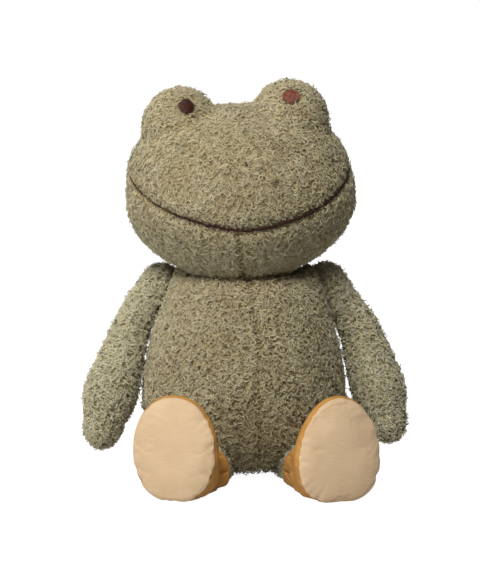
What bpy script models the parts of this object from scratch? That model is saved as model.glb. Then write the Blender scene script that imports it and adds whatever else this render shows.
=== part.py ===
"""A plush frog that sits, built as sewn fabric panels over stuffing. Metres, +Z up.

The frog faces -Y, and "left" is its own left, +X. The origin is the middle of its flat seat.
"""

import math

import bmesh
import bpy
import numpy as np
from mathutils import Matrix, Vector
from mathutils.bvhtree import BVHTree

MM = 0.001

# Fabric, seams and clearances
PILE_THICKNESS = 4.0 * MM
WOVEN_THICKNESS = 2.0 * MM
SEAM_GAP = 0.3 * MM
STUFFING_GAP = 0.35 * MM
TURNING_GAP = 0.3 * MM
FLAT_DEPTH = 0.5 * MM

# Trunk
TRUNK_HEIGHT = 150.0 * MM
TRUNK_WIDTH = 156.0 * MM
TRUNK_FRONT = 66.0 * MM
TRUNK_BACK = 62.0 * MM
TRUNK_CORNER_SHARE = 2.2
TRUNK_PROFILE_SHARES = (
    (0.0, 0.0),
    (0.0008, 0.26),
    (0.0033, 0.48),
    (0.018, 0.64),
    (0.058, 0.79),
    (0.13, 0.905),
    (0.23, 0.975),
    (0.345, 1.0),
    (0.46, 0.99),
    (0.575, 0.945),
    (0.685, 0.875),
    (0.79, 0.79),
    (0.88, 0.70),
    (0.95, 0.58),
    (0.985, 0.42),
    (0.997, 0.2),
    (1.0, 0.0),
)
SEAT_ROWS = 4

# Neck, a ball of firm wadding on which the head turns and nods
NECK_RISE = 2.0 * MM
NECK_RADIUS = 36.0 * MM

# Head, from the neck's centre: (middle ahead, middle up, half width, half depth, half height)
CHEEKS = (3.0 * MM, 60.0 * MM, 90.0 * MM, 68.0 * MM, 66.0 * MM)
CROWN = (1.0 * MM, 80.0 * MM, 83.0 * MM, 63.0 * MM, 51.5 * MM)
EYE_BUMP = (7.0 * MM, 117.5 * MM, 29.5 * MM, 31.0 * MM, 29.0 * MM)
EYE_BUMP_SPREAD = 43.0 * MM
BLEND_SHARE = 24.0
HEAD_TURN_DEG = -3.0
HEAD_TILT_DEG = -3.2
MOUTH_MIDDLE_DEG = 116.8
MOUTH_RISE_DEG = 38.0
MOUTH_CREASE_DEPTH = 2.2 * MM
MOUTH_CREASE_WIDTH = 5.0 * MM
MOUTH_THREAD = 2.4 * MM
MOUTH_REACH_DEG = 82.0
MOUTH_END_SHARE = 0.35
MOUTH_FADE_DEG = 62.0
EYE_WIDTH = 10.4 * MM
EYE_THICKNESS = 1.4 * MM
EYE_SPREAD = 38.8 * MM
EYE_HEIGHT = 132.5 * MM

# Arms, from the shoulder's centre
SHOULDER_INSET = 14.0 * MM
SHOULDER_BACK = 14.0 * MM
SHOULDER_DROP = 8.0 * MM
SHOULDER_RADIUS = 18.0 * MM
HAND_RADIUS = 21.4 * MM
HAND_TIP = 23.0 * MM
ARM_SPREAD = 44.0 * MM
ARM_DROP = 105.0 * MM
ARM_AHEAD = 22.0 * MM
ARM_DEPTH_SHARE = 0.9
ARM_ROUTE_SHARES = (
    (0.0, 0.0),
    (0.27, 0.165),
    (0.545, 0.335),
    (0.76, 0.58),
    (0.90, 0.80),
    (0.98, 1.0),
)
ARM_SWELL_SHARES = (0.0, -0.35, -0.3, 0.6, 0.85, -0.15)

# Legs, from the middle of the root, where each leg meets the trunk
HIP_SPREAD = 34.0 * MM
HIP_INSET = 16.0 * MM
HIP_HEIGHT = 27.5 * MM
LEG_SPLAY_DEG = 20.0
LEG_LENGTH = 72.0 * MM
ROOT_DEPTH = 18.0 * MM
ROOT_RADIUS = 21.5 * MM
ANKLE_REACH = 14.0 * MM
ANKLE_RADIUS = 23.5 * MM
SOLE_WIDTH = 62.0 * MM
SOLE_HEIGHT = 75.5 * MM
SOLE_CROWN = 5.5 * MM
SOLE_EGG_SHARE = 0.12
HINGE_LIFT = 1.5 * MM
UPPER_SWELL_SHARES = ((0.0, 0.0), (0.3, 0.36), (0.65, 0.75), (1.0, 1.0))
SOLE_DOME_SHARES = ((1.0, 0.0), (0.88, 0.45), (0.5, 0.85), (0.0, 1.0))

# Pellet pouch and closing stitch
POUCH_WIDTH = 88.0 * MM
POUCH_DEPTH = 72.0 * MM
POUCH_HEIGHT = 20.0 * MM
STITCH_THREAD = 0.9 * MM
STITCH_LENGTH = 55.0 * MM
STITCH_WIDTH = 2.4 * MM
STITCH_START = 55.0 * MM
STITCH_COUNT = 8

# How finely each form is divided
TRUNK_COLUMNS = 16
HEAD_COLUMNS = 20
FACE_ROWS = 9
JAW_ROWS = 5
ARM_COLUMNS = 8
CAP_ROWS = 3
LEG_COLUMNS = 12
BALL_SEGMENTS = 16
BALL_RINGS = 8
SOCKET_SEGMENTS = 24
SOCKET_RINGS = 12

FABRICS = {
    "pile": ((0.32, 0.27, 0.165), 0.95),
    "ochre": ((0.41, 0.21, 0.08), 0.8),
    "peach": ((0.69, 0.51, 0.32), 0.8),
    "thread": ((0.035, 0.012, 0.01), 0.5),
    "fibre": ((0.85, 0.85, 0.83), 0.9),
    "pouch": ((0.6, 0.58, 0.52), 0.8),
}
NECK = np.array((0.0, 0.0, TRUNK_HEIGHT + NECK_RISE))
SIDES = (("left", 1), ("right", -1))


def clear_scene():
    for item in list(bpy.data.objects):
        bpy.data.objects.remove(item, do_unlink=True)


def material(name):
    found = bpy.data.materials.get(name)
    if found:
        return found
    colour, roughness = FABRICS[name]
    made = bpy.data.materials.new(name)
    made.use_nodes = True
    shader = made.node_tree.nodes["Principled BSDF"]
    shader.inputs["Base Color"].default_value = (*colour, 1)
    shader.inputs["Roughness"].default_value = roughness
    shader.inputs["Metallic"].default_value = 0
    made.diffuse_color = (*colour, 1)
    return made


def pivot(name, place, turn=(0, 0, 0)):
    """An empty on a joint's axis, which the moving pieces are parented to."""
    item = bpy.data.objects.new(name, None)
    item.location = place
    item.rotation_euler = turn
    bpy.context.scene.collection.objects.link(item)
    bpy.context.view_layer.update()
    return item


def add_object(name, mesh, fabric, parent=None, hidden=False):
    item = bpy.data.objects.new(name, mesh)
    bpy.context.scene.collection.objects.link(item)
    item.parent = parent
    if fabric:
        mesh.materials.append(material(fabric))
    mesh.shade_smooth()
    if hidden:
        item.hide_render = True
        item.display_type = "WIRE"
    return item


def is_pole(row):
    return np.ptp(row, axis=0).max() < SEAM_GAP / 100


def strip(near, far):
    """Two triangles for each cell between near and far lines of points, all split along the same diagonal."""
    a, b, c, d = near[:, :-1], near[:, 1:], far[:, 1:], far[:, :-1]
    return list(np.stack([a, b, c], -1).reshape(-1, 3)) + list(np.stack([a, c, d], -1).reshape(-1, 3))


def mesh_of(name, surfaces, closed):
    """A closed mesh of one grid with poles, or of an outer and an inner grid with walls between."""
    rows, columns = surfaces[0].shape[:2]
    count = rows * columns
    index = np.arange(count).reshape(rows, columns)
    across = np.concatenate([index, index[:, :1]], axis=1) if closed else index
    faces = strip(across[:-1], across[1:])
    if len(surfaces) == 2:
        faces += [face[::-1] + count for face in faces]
        lines = [line for line in (across[0], across[-1]) if not is_pole(surfaces[0].reshape(-1, 3)[line])]
        if not closed:
            lines += [index[:, 0], index[:, -1]]
        for line in lines:
            faces += strip(line[None], line[None] + count)
    made = bmesh.new()
    points = [made.verts.new(point) for point in np.concatenate([s.reshape(-1, 3) for s in surfaces])]
    for face in faces:
        made.faces.new([points[i] for i in face])
    bmesh.ops.remove_doubles(made, verts=made.verts, dist=SEAM_GAP / 1000)
    bmesh.ops.recalc_face_normals(made, faces=made.faces)
    if made.calc_volume(signed=True) < 0:
        bmesh.ops.reverse_faces(made, faces=made.faces)
    mesh = bpy.data.meshes.new(name)
    made.to_mesh(mesh)
    made.free()
    return mesh


def drawn_back(grid, first_row, last_row, columns):
    """The grid with its seam edges moved half a seam gap toward the row or column beside them."""

    def step(toward):
        length = np.linalg.norm(toward, axis=-1, keepdims=True)
        return toward / np.maximum(length, SEAM_GAP) * SEAM_GAP / 2

    moved = grid.copy()
    if first_row:
        moved[0] += step(grid[1] - grid[0])
    if last_row:
        moved[-1] += step(grid[-2] - grid[-1])
    if columns:
        moved[:, 0] += step(grid[:, 1] - grid[:, 0])
        moved[:, -1] += step(grid[:, -2] - grid[:, -1])
    return moved


def panel(name, outer, inner, rows, columns, fabric, parent=None):
    """A fabric panel: the patch of an outer and an inner surface between two rows and two columns."""
    closed = columns is None
    part = slice(rows[0], rows[1] + 1)
    wide = slice(0, outer.shape[1] - 1) if closed else slice(columns[0], columns[1] + 1)
    patches = []
    for surface in (outer, inner):
        patch = surface[part, wide]
        ends = [not (closed and is_pole(patch[end])) for end in (0, -1)]
        patches.append(drawn_back(patch, *ends, not closed))
    return add_object(name, mesh_of(name, patches, closed), fabric, parent)


def solid(name, surface, fabric, parent=None, hidden=False):
    """A closed solid inside one surface that has a pole at either end."""
    return add_object(name, mesh_of(name, [surface[:, :-1]], True), fabric, parent, hidden)


def grown(surface, distance):
    """The surface moved along its normals, outward for a positive distance."""
    down = np.gradient(surface, axis=0)
    ring = surface[:, :-1]
    around = np.roll(ring, -1, axis=1) - np.roll(ring, 1, axis=1)
    around = np.concatenate([around, around[:, :1]], axis=1)
    normal = np.cross(around, down)
    for end, beside in ((0, 1), (-1, -2)):
        if is_pole(surface[end]):
            normal[end] = normal[beside, :-1].mean(axis=0)
    normal /= np.linalg.norm(normal, axis=-1, keepdims=True)
    middle = surface[:, :-1].reshape(-1, 3).mean(axis=0)
    outward = np.sign(((surface - middle) * normal).sum())
    return surface + normal * distance * outward


def through(shares, steps):
    """Evenly spaced points on a smooth curve through the given ones."""
    points = np.array(shares, float)
    padded = np.concatenate([2 * points[:1] - points[1:2], points, 2 * points[-1:] - points[-2:-1]])
    at = np.linspace(0, len(points) - 1, steps)
    start = np.minimum(at.astype(int), len(points) - 2)
    t = (at - start)[:, None]
    a, b, c, d = (padded[start + k] for k in range(4))
    return b + t / 2 * (c - a + t * (2 * a - 5 * b + 4 * c - d + t * (3 * (b - c) + d - a)))


def ball(name, centre, radius, fabric, segments, rings):
    made = bmesh.new()
    bmesh.ops.create_uvsphere(made, u_segments=segments, v_segments=rings, radius=radius)
    bmesh.ops.translate(made, verts=made.verts, vec=tuple(centre))
    mesh = bpy.data.meshes.new(name)
    made.to_mesh(mesh)
    made.free()
    return add_object(name, mesh, fabric, hidden=fabric is None)


def socket(name, centre, radius):
    """A cutter that leaves the turning gap round a ball of this radius, at the middles of its facets too."""
    spare = math.cos(math.pi / SOCKET_SEGMENTS) * math.cos(math.pi / SOCKET_RINGS / 2)
    return ball(name, centre, (radius + TURNING_GAP) / spare, None, SOCKET_SEGMENTS, SOCKET_RINGS)


def cut(item, *cutters):
    for cutter in cutters:
        modifier = item.modifiers.new("Cut by " + cutter.name, "BOOLEAN")
        modifier.operation = "DIFFERENCE"
        modifier.solver = "EXACT"
        modifier.object = cutter


def floor_cutter():
    made = bmesh.new()
    bmesh.ops.create_cube(made, size=1)
    size = 4 * TRUNK_WIDTH
    bmesh.ops.scale(made, verts=made.verts, vec=(size, size, TRUNK_HEIGHT))
    bmesh.ops.translate(made, verts=made.verts, vec=(0, 0, -TRUNK_HEIGHT / 2))
    mesh = bpy.data.meshes.new("floor_cutter")
    made.to_mesh(mesh)
    made.free()
    return add_object("floor_cutter", mesh, None, hidden=True)


def superellipse(angle, half_width, front, back, corner):
    """Points of a plan section, from the middle of the front round by the frog's left."""
    along, across = -np.cos(angle), np.sin(angle)
    depth = np.where(along < 0, front, back)
    reach = (np.abs(along / depth) ** corner + np.abs(across / half_width) ** corner) ** (-1 / corner)
    return across * reach, along * reach


def trunk_surface():
    angle = np.linspace(0, 2 * math.pi, TRUNK_COLUMNS + 1)
    rows = []
    for up, out in TRUNK_PROFILE_SHARES:
        x, y = superellipse(angle, TRUNK_WIDTH / 2, TRUNK_FRONT, TRUNK_BACK, TRUNK_CORNER_SHARE)
        z = np.full_like(x, up * (TRUNK_HEIGHT + FLAT_DEPTH) - FLAT_DEPTH)
        rows.append(np.stack([x * out, y * out, z], axis=-1))
    return np.array(rows)


def head_level(points):
    """Below 1 inside the head: the cheeks, the crown and two eye bumps, blended where they meet."""
    total = 0
    bumps = [(*EYE_BUMP, side * EYE_BUMP_SPREAD) for side in (1, -1)]
    for ahead, up, wide, deep, high, aside in [(*CHEEKS, 0), (*CROWN, 0), *bumps]:
        away = (points - (aside, -ahead, up)) / (wide, deep, high)
        total = total + np.exp(-BLEND_SHARE * np.linalg.norm(away, axis=-1))
    return -np.log(total) / BLEND_SHARE


def head_reach(start, way):
    """How far the head's surface lies from start along each way."""
    low = np.zeros(way.shape[:-1])
    high = np.full_like(low, 2 * TRUNK_WIDTH)
    for _ in range(40):
        middle = (low + high) / 2
        inside = head_level(start + way * middle[..., None]) < 1
        low = np.where(inside, middle, low)
        high = np.where(inside, high, middle)
    return (low + high) / 2


def mouth_angle(azimuth):
    """The mouth seam's angle from straight up, seen from the head's middle."""
    front = np.minimum(np.abs(azimuth), math.pi / 2)
    return np.radians(MOUTH_MIDDLE_DEG - MOUTH_RISE_DEG * (1 - np.cos(front)))


def head_points(azimuth, down):
    """Points of the head at angles round from the front and down from straight up, creased at the mouth."""
    middle = np.array((0, -CHEEKS[0], (CHEEKS[1] + CROWN[1]) / 2))
    way = np.stack([np.sin(down) * np.sin(azimuth), -np.sin(down) * np.cos(azimuth), np.cos(down)], axis=-1)
    reach = head_reach(middle, way)
    off = (down - mouth_angle(azimuth)) * reach / MOUTH_CREASE_WIDTH
    fade = np.clip((math.pi / 2 - np.abs(azimuth)) / (math.pi / 2 - math.radians(MOUTH_FADE_DEG)), 0, 1)
    return middle + way * (reach - MOUTH_CREASE_DEPTH * fade * np.exp(-(off**2)))[..., None]


def head_surface():
    """Rows from the top of the crown to the underside, one of them along the mouth."""
    azimuth = np.linspace(0, 2 * math.pi, HEAD_COLUMNS + 1)
    signed = np.where(azimuth > math.pi, azimuth - 2 * math.pi, azimuth)
    mouth = mouth_angle(signed)
    beside = MOUTH_CREASE_WIDTH / CHEEKS[3]
    face = np.linspace(0, 1, FACE_ROWS + 1)[:-1, None] * (mouth - beside)
    jaw = mouth + beside + np.linspace(0, 1, JAW_ROWS)[:, None] * (math.pi - mouth - beside)
    down = np.concatenate([face, [mouth - beside], [mouth], jaw])
    return head_points(np.broadcast_to(signed, down.shape), down)


def shoulder_centre(side):
    return np.array((side * (TRUNK_WIDTH / 2 - SHOULDER_INSET), SHOULDER_BACK, TRUNK_HEIGHT - SHOULDER_DROP))


def arm_surface(side):
    """Rings along the arm, from the ball at the shoulder to the round hand."""
    reach = np.array((ARM_SPREAD, ARM_DROP))
    route = through(ARM_ROUTE_SHARES, 2 * len(ARM_ROUTE_SHARES) - 3) * reach
    swell = through(np.array(ARM_SWELL_SHARES)[:, None], len(route))[:, 0]
    ahead = -ARM_AHEAD * route[:, 1] / ARM_DROP
    centre = np.stack([route[:, 0], ahead, -route[:, 1]], axis=-1)
    along = np.gradient(centre, axis=0)
    along /= np.linalg.norm(along, axis=1, keepdims=True)
    radius = SHOULDER_RADIUS + (HAND_RADIUS - SHOULDER_RADIUS) * swell
    cap = np.linspace(0, math.pi / 2, CAP_ROWS + 1)[:-1, None]
    start = centre[0] - along[0] * SHOULDER_RADIUS * np.cos(cap)
    end = centre[-1] + along[-1] * HAND_TIP * np.cos(cap[::-1])
    centres = np.concatenate([start, centre, end])
    ways = np.concatenate([np.repeat(along[:1], len(cap), 0), along, np.repeat(along[-1:], len(cap), 0)])
    cap_share = np.sin(cap[:, 0])
    radii = np.concatenate([radius[0] * cap_share, radius, radius[-1] * cap_share[::-1]])
    outward = np.cross((0, -1, 0), ways)
    outward /= np.linalg.norm(outward, axis=1, keepdims=True)
    ahead_way = np.cross(ways, outward)
    depth_share = 1 - (1 - ARM_DEPTH_SHARE) * np.clip(-centres[:, 2] / SHOULDER_RADIUS, 0, 1)
    angle = np.linspace(0, 2 * math.pi, ARM_COLUMNS + 1)[None, :, None]
    out = outward[:, None] * np.cos(angle)
    front = ahead_way[:, None] * np.sin(angle) * depth_share[:, None, None]
    grid = centres[:, None] + radii[:, None, None] * (out + front)
    return grid * (side, 1, 1)


def leg_surface(side):
    """Rings along the leg, from its root inside the trunk over the foot to the middle of the sole."""
    rings = [(-ROOT_DEPTH, 0, 0, 0)]
    rings += [(reach, ROOT_RADIUS, ROOT_RADIUS, 0) for reach in (-ROOT_DEPTH, 0)]
    sole_lift = SOLE_HEIGHT / 2 - FLAT_DEPTH - HIP_HEIGHT
    for along, swell in UPPER_SWELL_SHARES:
        wide = ANKLE_RADIUS + (SOLE_WIDTH / 2 - ANKLE_RADIUS) * swell
        high = ANKLE_RADIUS + (SOLE_HEIGHT / 2 - ANKLE_RADIUS) * swell
        reach = ANKLE_REACH + (LEG_LENGTH - ANKLE_REACH) * along
        rings.append((reach, wide, high, sole_lift * swell))
    for share, rise in SOLE_DOME_SHARES[1:]:
        reach = LEG_LENGTH + SOLE_CROWN * rise
        rings.append((reach, SOLE_WIDTH / 2 * share, SOLE_HEIGHT / 2 * share, sole_lift))
    angle = np.linspace(0, 2 * math.pi, LEG_COLUMNS + 1)
    grid = []
    for reach, wide, high, lift in rings:
        egg = SOLE_EGG_SHARE * np.clip(reach / LEG_LENGTH, 0, 1)
        x = wide * np.cos(angle) * (1 - egg * np.sin(angle))
        grid.append(np.stack([x, np.full_like(x, -reach), lift + high * np.sin(angle)], axis=-1))
    turn = np.array(Matrix.Rotation(math.radians(LEG_SPLAY_DEG) * side, 3, "Z"))
    return np.array(grid) * (side, 1, 1) @ turn.T


def build_trunk(floor, sockets):
    outer = trunk_surface()
    inner = grown(outer, -PILE_THICKNESS)
    quarter = TRUNK_COLUMNS // 4
    seat = (0, SEAT_ROWS)
    above = (SEAT_ROWS, len(outer) - 1)
    pieces = [panel("seat_panel", outer, inner, seat, None, "pile")]
    for number, name in enumerate(("belly_left", "back_left", "back_right", "belly_right")):
        columns = (number * quarter, (number + 1) * quarter)
        pieces.append(panel(name + "_panel", outer, inner, above, columns, "pile"))
    cut(pieces[0], floor)
    filling = solid("trunk_filling", grown(outer, -PILE_THICKNESS - STUFFING_GAP), "fibre")
    for item in [*pieces[1:], filling]:
        cut(item, sockets["neck"])
    for name, numbers in (("left", (1, 2)), ("right", (3, 4))):
        for number in numbers:
            cut(pieces[number], sockets["shoulder_" + name])
        cut(filling, sockets["shoulder_" + name])
    build_pouch(filling)
    build_stitch(outer)


def pouch_surface(width, depth, height, base):
    """A closed cushion with a flat base, from the middle of the base to its top."""
    angle = np.linspace(0, 2 * math.pi, TRUNK_COLUMNS + 1)
    rise = np.linspace(-math.pi / 4, math.pi / 2, CAP_ROWS * 2)
    lowest = math.sin(math.pi / 4)
    rows = [(0, 0), *[(math.cos(a), (math.sin(a) + lowest) / (1 + lowest)) for a in rise[:-1]], (0, 1)]
    rings = []
    for out, up in rows:
        flat = np.full_like(angle, base + height * up)
        rings.append(np.stack([width / 2 * out * np.sin(angle), -depth / 2 * out * np.cos(angle), flat], -1))
    return np.array(rings)


def build_pouch(filling):
    """A pouch of pellets on the seat panel, in a hollow of the stuffing that is open below."""
    base = PILE_THICKNESS + SEAM_GAP
    pouch = pouch_surface(POUCH_WIDTH, POUCH_DEPTH, POUCH_HEIGHT, base)
    solid("pellet_pouch", pouch, "pouch")
    hollow = grown(pouch, STUFFING_GAP)
    hollow[:2, :, 2] = 0
    cut(filling, solid("pouch_hollow", hollow, None, hidden=True))


def build_stitch(outer):
    """The ladder stitch that closes the stuffing hole in the back seam."""
    heights = STITCH_START + np.linspace(0, STITCH_LENGTH, 2 * STITCH_COUNT)
    seam = outer[:, TRUNK_COLUMNS // 2]
    back = np.interp(heights, seam[:, 2], seam[:, 1]) + STITCH_THREAD / 2 + SEAM_GAP
    aside = np.where(np.arange(2 * STITCH_COUNT) % 4 < 2, STITCH_WIDTH / 2, -STITCH_WIDTH / 2)
    tube("closing_stitch", np.stack([aside, back, heights], -1), STITCH_THREAD, "thread")


def tube(name, points, width, fabric, parent=None, shares=None):
    """A round thread along the points, thinner where its shares are under 1."""
    curve = bpy.data.curves.new(name, "CURVE")
    curve.dimensions = "3D"
    curve.bevel_depth = width / 2
    curve.bevel_resolution = 1
    curve.use_fill_caps = True
    line = curve.splines.new("POLY")
    line.points.add(len(points) - 1)
    for number, point in enumerate(points):
        line.points[number].co = (*point, 1)
        line.points[number].radius = 1 if shares is None else shares[number]
    item = bpy.data.objects.new(name, curve)
    bpy.context.scene.collection.objects.link(item)
    item.parent = parent
    curve.materials.append(material(fabric))
    return item


def build_head(sockets):
    turn = (0, math.radians(HEAD_TILT_DEG), math.radians(HEAD_TURN_DEG))
    head = pivot("head_pivot", NECK, turn)
    outer = head_surface()
    inner = grown(outer, -PILE_THICKNESS)
    quarter = HEAD_COLUMNS // 4
    mouth = FACE_ROWS + 1
    last = len(outer) - 1
    front = np.concatenate([np.arange(-quarter, 0) - 1, np.arange(quarter + 1)])
    face_outer, face_inner = outer[:, front], inner[:, front]
    pieces = [
        panel("face_panel", face_outer, face_inner, (0, mouth), (0, 2 * quarter), "pile", head),
        panel("jaw_left_panel", outer, inner, (mouth, last), (0, quarter), "pile", head),
        panel("jaw_right_panel", outer, inner, (mouth, last), (3 * quarter, 4 * quarter), "pile", head),
        panel("head_back_left_panel", outer, inner, (0, last), (quarter, 2 * quarter), "pile", head),
        panel("head_back_right_panel", outer, inner, (0, last), (2 * quarter, 3 * quarter), "pile", head),
        solid("head_filling", grown(outer, -PILE_THICKNESS - STUFFING_GAP), "fibre", head),
    ]
    for item in pieces[1:]:
        cut(item, sockets["neck"])
    build_mouth(head)
    for name, side in SIDES:
        build_eye(name, side, head, pieces[0].data)


def build_mouth(head):
    """The embroidered line in the crease of the mouth seam, tapering to both ends."""
    reach = math.radians(MOUTH_REACH_DEG)
    azimuth = np.linspace(-reach, reach, HEAD_COLUMNS + 1)
    points = head_points(azimuth, mouth_angle(azimuth))
    out = points - (0, -CHEEKS[0], CHEEKS[1])
    out /= np.linalg.norm(out, axis=1, keepdims=True)
    lift = MOUTH_THREAD / 2 + SEAM_GAP
    arch = np.cos(azimuth / reach * math.pi / 2).clip(0, 1)
    shares = MOUTH_END_SHARE + (1 - MOUTH_END_SHARE) * np.sqrt(arch)
    tube("mouth_line", points + out * lift, MOUTH_THREAD, "thread", head, shares)


def build_eye(name, side, head, face):
    """A satin-stitched round pad on the front of the eye bump, a seam gap off the face panel."""
    start = np.array((side * EYE_SPREAD, 0, EYE_HEIGHT))
    reach = head_reach(start, np.array((0.0, -1.0, 0.0)))
    place = start + (0, -float(reach), 0)
    steps = SEAM_GAP * np.eye(3)
    slope = [head_level(place + step) - head_level(place - step) for step in steps]
    normal = Vector(slope).normalized()
    made = bmesh.new()
    bmesh.ops.create_uvsphere(made, u_segments=BALL_SEGMENTS, v_segments=BALL_RINGS // 2, radius=1)
    bmesh.ops.scale(made, verts=made.verts, vec=(EYE_WIDTH / 2, EYE_WIDTH / 2, EYE_THICKNESS / 2))
    mesh = bpy.data.meshes.new("eye_" + name)
    made.to_mesh(mesh)
    made.free()
    eye = add_object("eye_" + name, mesh, "thread", head)
    eye.rotation_mode = "QUATERNION"
    eye.rotation_quaternion = normal.to_track_quat("Z", "Y")
    above = Vector(place) + normal * EYE_WIDTH
    panel_tree = BVHTree.FromPolygons([v.co for v in face.vertices], [p.vertices for p in face.polygons])
    corners = [eye.rotation_quaternion @ v.co + above for v in mesh.vertices]
    drops = [panel_tree.ray_cast(corner, -normal)[3] for corner in corners]
    eye.location = above - normal * (min(drops) - SEAM_GAP)


def build_arm(name, side, sockets, trunk):
    arm = pivot("arm_" + name + "_pivot", shoulder_centre(side))
    outer = arm_surface(side)
    inner = grown(outer, -PILE_THICKNESS)
    half = ARM_COLUMNS // 2
    last = len(outer) - 1
    pieces = [
        panel(f"arm_{name}_front_panel", outer, inner, (0, last), (0, half), "pile", arm),
        panel(f"arm_{name}_back_panel", outer, inner, (0, last), (half, 2 * half), "pile", arm),
        solid(f"arm_{name}_filling", grown(outer, -PILE_THICKNESS - STUFFING_GAP), "fibre", arm),
    ]
    beside = solid(f"beside_arm_{name}", trunk, None, hidden=True)
    cut(beside, sockets["shoulder_" + name])
    for item in pieces:
        cut(item, beside)


def build_leg(name, side, beside, floor):
    """A leg sewn to the trunk's front, hinged along the crease at the top of its root."""
    root = np.array((side * HIP_SPREAD, HIP_INSET - TRUNK_FRONT, HIP_HEIGHT))
    crease = np.array((side * HIP_SPREAD, -TRUNK_FRONT, HIP_HEIGHT + ROOT_RADIUS + HINGE_LIFT))
    leg = pivot("leg_" + name + "_pivot", crease)
    outer = leg_surface(side) + (root - crease)
    ankle = 3
    sole = ankle + len(UPPER_SWELL_SHARES) - 1
    last = len(outer) - 1
    pile_inner = grown(outer, -PILE_THICKNESS)
    woven_inner = grown(outer, -WOVEN_THICKNESS)
    stuffing = grown(outer, -PILE_THICKNESS - STUFFING_GAP)
    stuffing[ankle + 1 :] = grown(outer, -WOVEN_THICKNESS - STUFFING_GAP)[ankle + 1 :]
    sleeve = panel(f"leg_{name}_sleeve", outer, pile_inner, (1, ankle), None, "pile", leg)
    upper = panel(f"foot_{name}_upper", outer, woven_inner, (ankle, sole), None, "ochre", leg)
    pad = panel(f"foot_{name}_sole", outer, woven_inner, (sole, last), None, "peach", leg)
    filling = solid(f"leg_{name}_filling", stuffing, "fibre", leg)
    for item in (sleeve, filling, upper):
        cut(item, beside)
    for item in (upper, pad):
        cut(item, floor)


def main():
    clear_scene()
    floor = floor_cutter()
    sockets = {"neck": socket("neck_socket", NECK, NECK_RADIUS)}
    for name, side in SIDES:
        ball_centre = shoulder_centre(side)
        sockets["shoulder_" + name] = socket(f"shoulder_{name}_socket", ball_centre, SHOULDER_RADIUS)
    ball("neck_filling", NECK, NECK_RADIUS, "fibre", BALL_SEGMENTS, BALL_RINGS)
    build_trunk(floor, sockets)
    build_head(sockets)
    trunk = grown(trunk_surface(), TURNING_GAP)
    beside_legs = solid("beside_legs", trunk, None, hidden=True)
    for name, side in SIDES:
        build_arm(name, side, sockets, trunk)
        build_leg(name, side, beside_legs, floor)


main()
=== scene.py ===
import math

import bpy
import numpy as np
from mathutils import Euler, Matrix


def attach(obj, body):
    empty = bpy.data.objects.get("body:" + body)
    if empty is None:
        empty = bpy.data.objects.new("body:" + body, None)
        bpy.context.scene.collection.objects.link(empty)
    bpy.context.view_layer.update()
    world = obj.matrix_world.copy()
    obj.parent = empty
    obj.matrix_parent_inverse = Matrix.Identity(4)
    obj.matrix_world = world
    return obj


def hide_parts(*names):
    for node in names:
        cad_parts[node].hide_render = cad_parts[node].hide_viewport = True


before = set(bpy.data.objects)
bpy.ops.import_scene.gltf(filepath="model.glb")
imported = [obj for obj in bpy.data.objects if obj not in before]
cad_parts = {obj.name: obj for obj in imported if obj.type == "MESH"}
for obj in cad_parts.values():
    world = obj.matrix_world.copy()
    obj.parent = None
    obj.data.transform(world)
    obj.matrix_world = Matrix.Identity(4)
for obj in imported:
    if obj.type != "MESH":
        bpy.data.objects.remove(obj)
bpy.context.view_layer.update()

# The pellet pouch: a calico bag of plastic pellets, sewn shut round its rim.
# It lies loose on the seat inside the trunk and weighs the frog down.
MM = 0.001
POUCH_HALF_WIDTH = 43.4 * MM
POUCH_HALF_DEPTH = 35.5 * MM
POUCH_RIM_RISE = 7.0 * MM
POUCH_CROWN = 11.5 * MM
POUCH_BASE = 4.4 * MM
POUCH_CORNER = 2.6
PELLET_SPACING = 5.0 * MM
PELLET_LUMP = 0.35 * MM
WELD = 0.002 * MM
SOFTENED = 0.86
TURN = 2 * math.pi


def waves(points, length, seed, count=12):
    """A smooth random field and its slope: a sum of sines whose waves run every way and are all about one length."""
    rng = np.random.default_rng(seed)
    way = rng.normal(size=(count, 3))
    size = length * rng.uniform(0.75, 1.35, count) * np.linalg.norm(way, axis=1)
    way *= (TURN / size)[:, None]
    phase = points @ way.T + rng.uniform(0, TURN, count)
    strength = math.sqrt(2 / count)
    return np.sin(phase).sum(-1) * strength, np.cos(phase) @ way * strength


def unit(vectors):
    return vectors / np.maximum(np.linalg.norm(vectors, axis=-1, keepdims=True), 1e-9)


def grid(rows, columns):
    """Every pair of two shares from 0 to 1: u across the columns and v down the rows."""
    return np.meshgrid(np.linspace(0, 1, columns), np.linspace(0, 1, rows))


def facing(surface, u, v):
    """Unit normals, the cross product of the slopes across and down, and the sign that turned them outward."""
    step = 1e-3
    inner = np.clip(v, 2 * step, 1 - 2 * step)
    across = surface(u + step, inner) - surface(u - step, inner)
    down = surface(u, inner + step) - surface(u, inner - step)
    normal = unit(np.cross(across, down))
    points = surface(u, v)
    middle = points.reshape(-1, 3).mean(axis=0)
    sign = np.sign(((points - middle) * normal).sum())
    return points, normal * sign, sign


def cells(rows, columns):
    """The four corner numbers of each cell of a grid of points, wound from row to row."""
    index = np.arange(rows * columns).reshape(rows, columns)
    return np.stack([index[:-1, :-1], index[:-1, 1:], index[1:, 1:], index[1:, :-1]], -1).reshape(-1, 4)


def welded(points, quads):
    """Points that coincide made one. A cell that loses a corner becomes a triangle, and a thinner one goes.

    It gives the points, then (new corners, old corners) for the quads and for the triangles.
    """
    places = np.round(points / WELD).astype(np.int64)
    _, first, index = np.unique(places, axis=0, return_index=True, return_inverse=True)
    new = index.reshape(-1)[quads]
    same = new == np.roll(new, -1, axis=1)
    lost = same.sum(axis=1)
    whole, cut = lost == 0, lost == 1
    corner = [(new[whole], quads[whole])]
    keep = ~same[cut]
    corner.append((new[cut][keep].reshape(-1, 3), quads[cut][keep].reshape(-1, 3)))
    return points[first], first, corner


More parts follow.
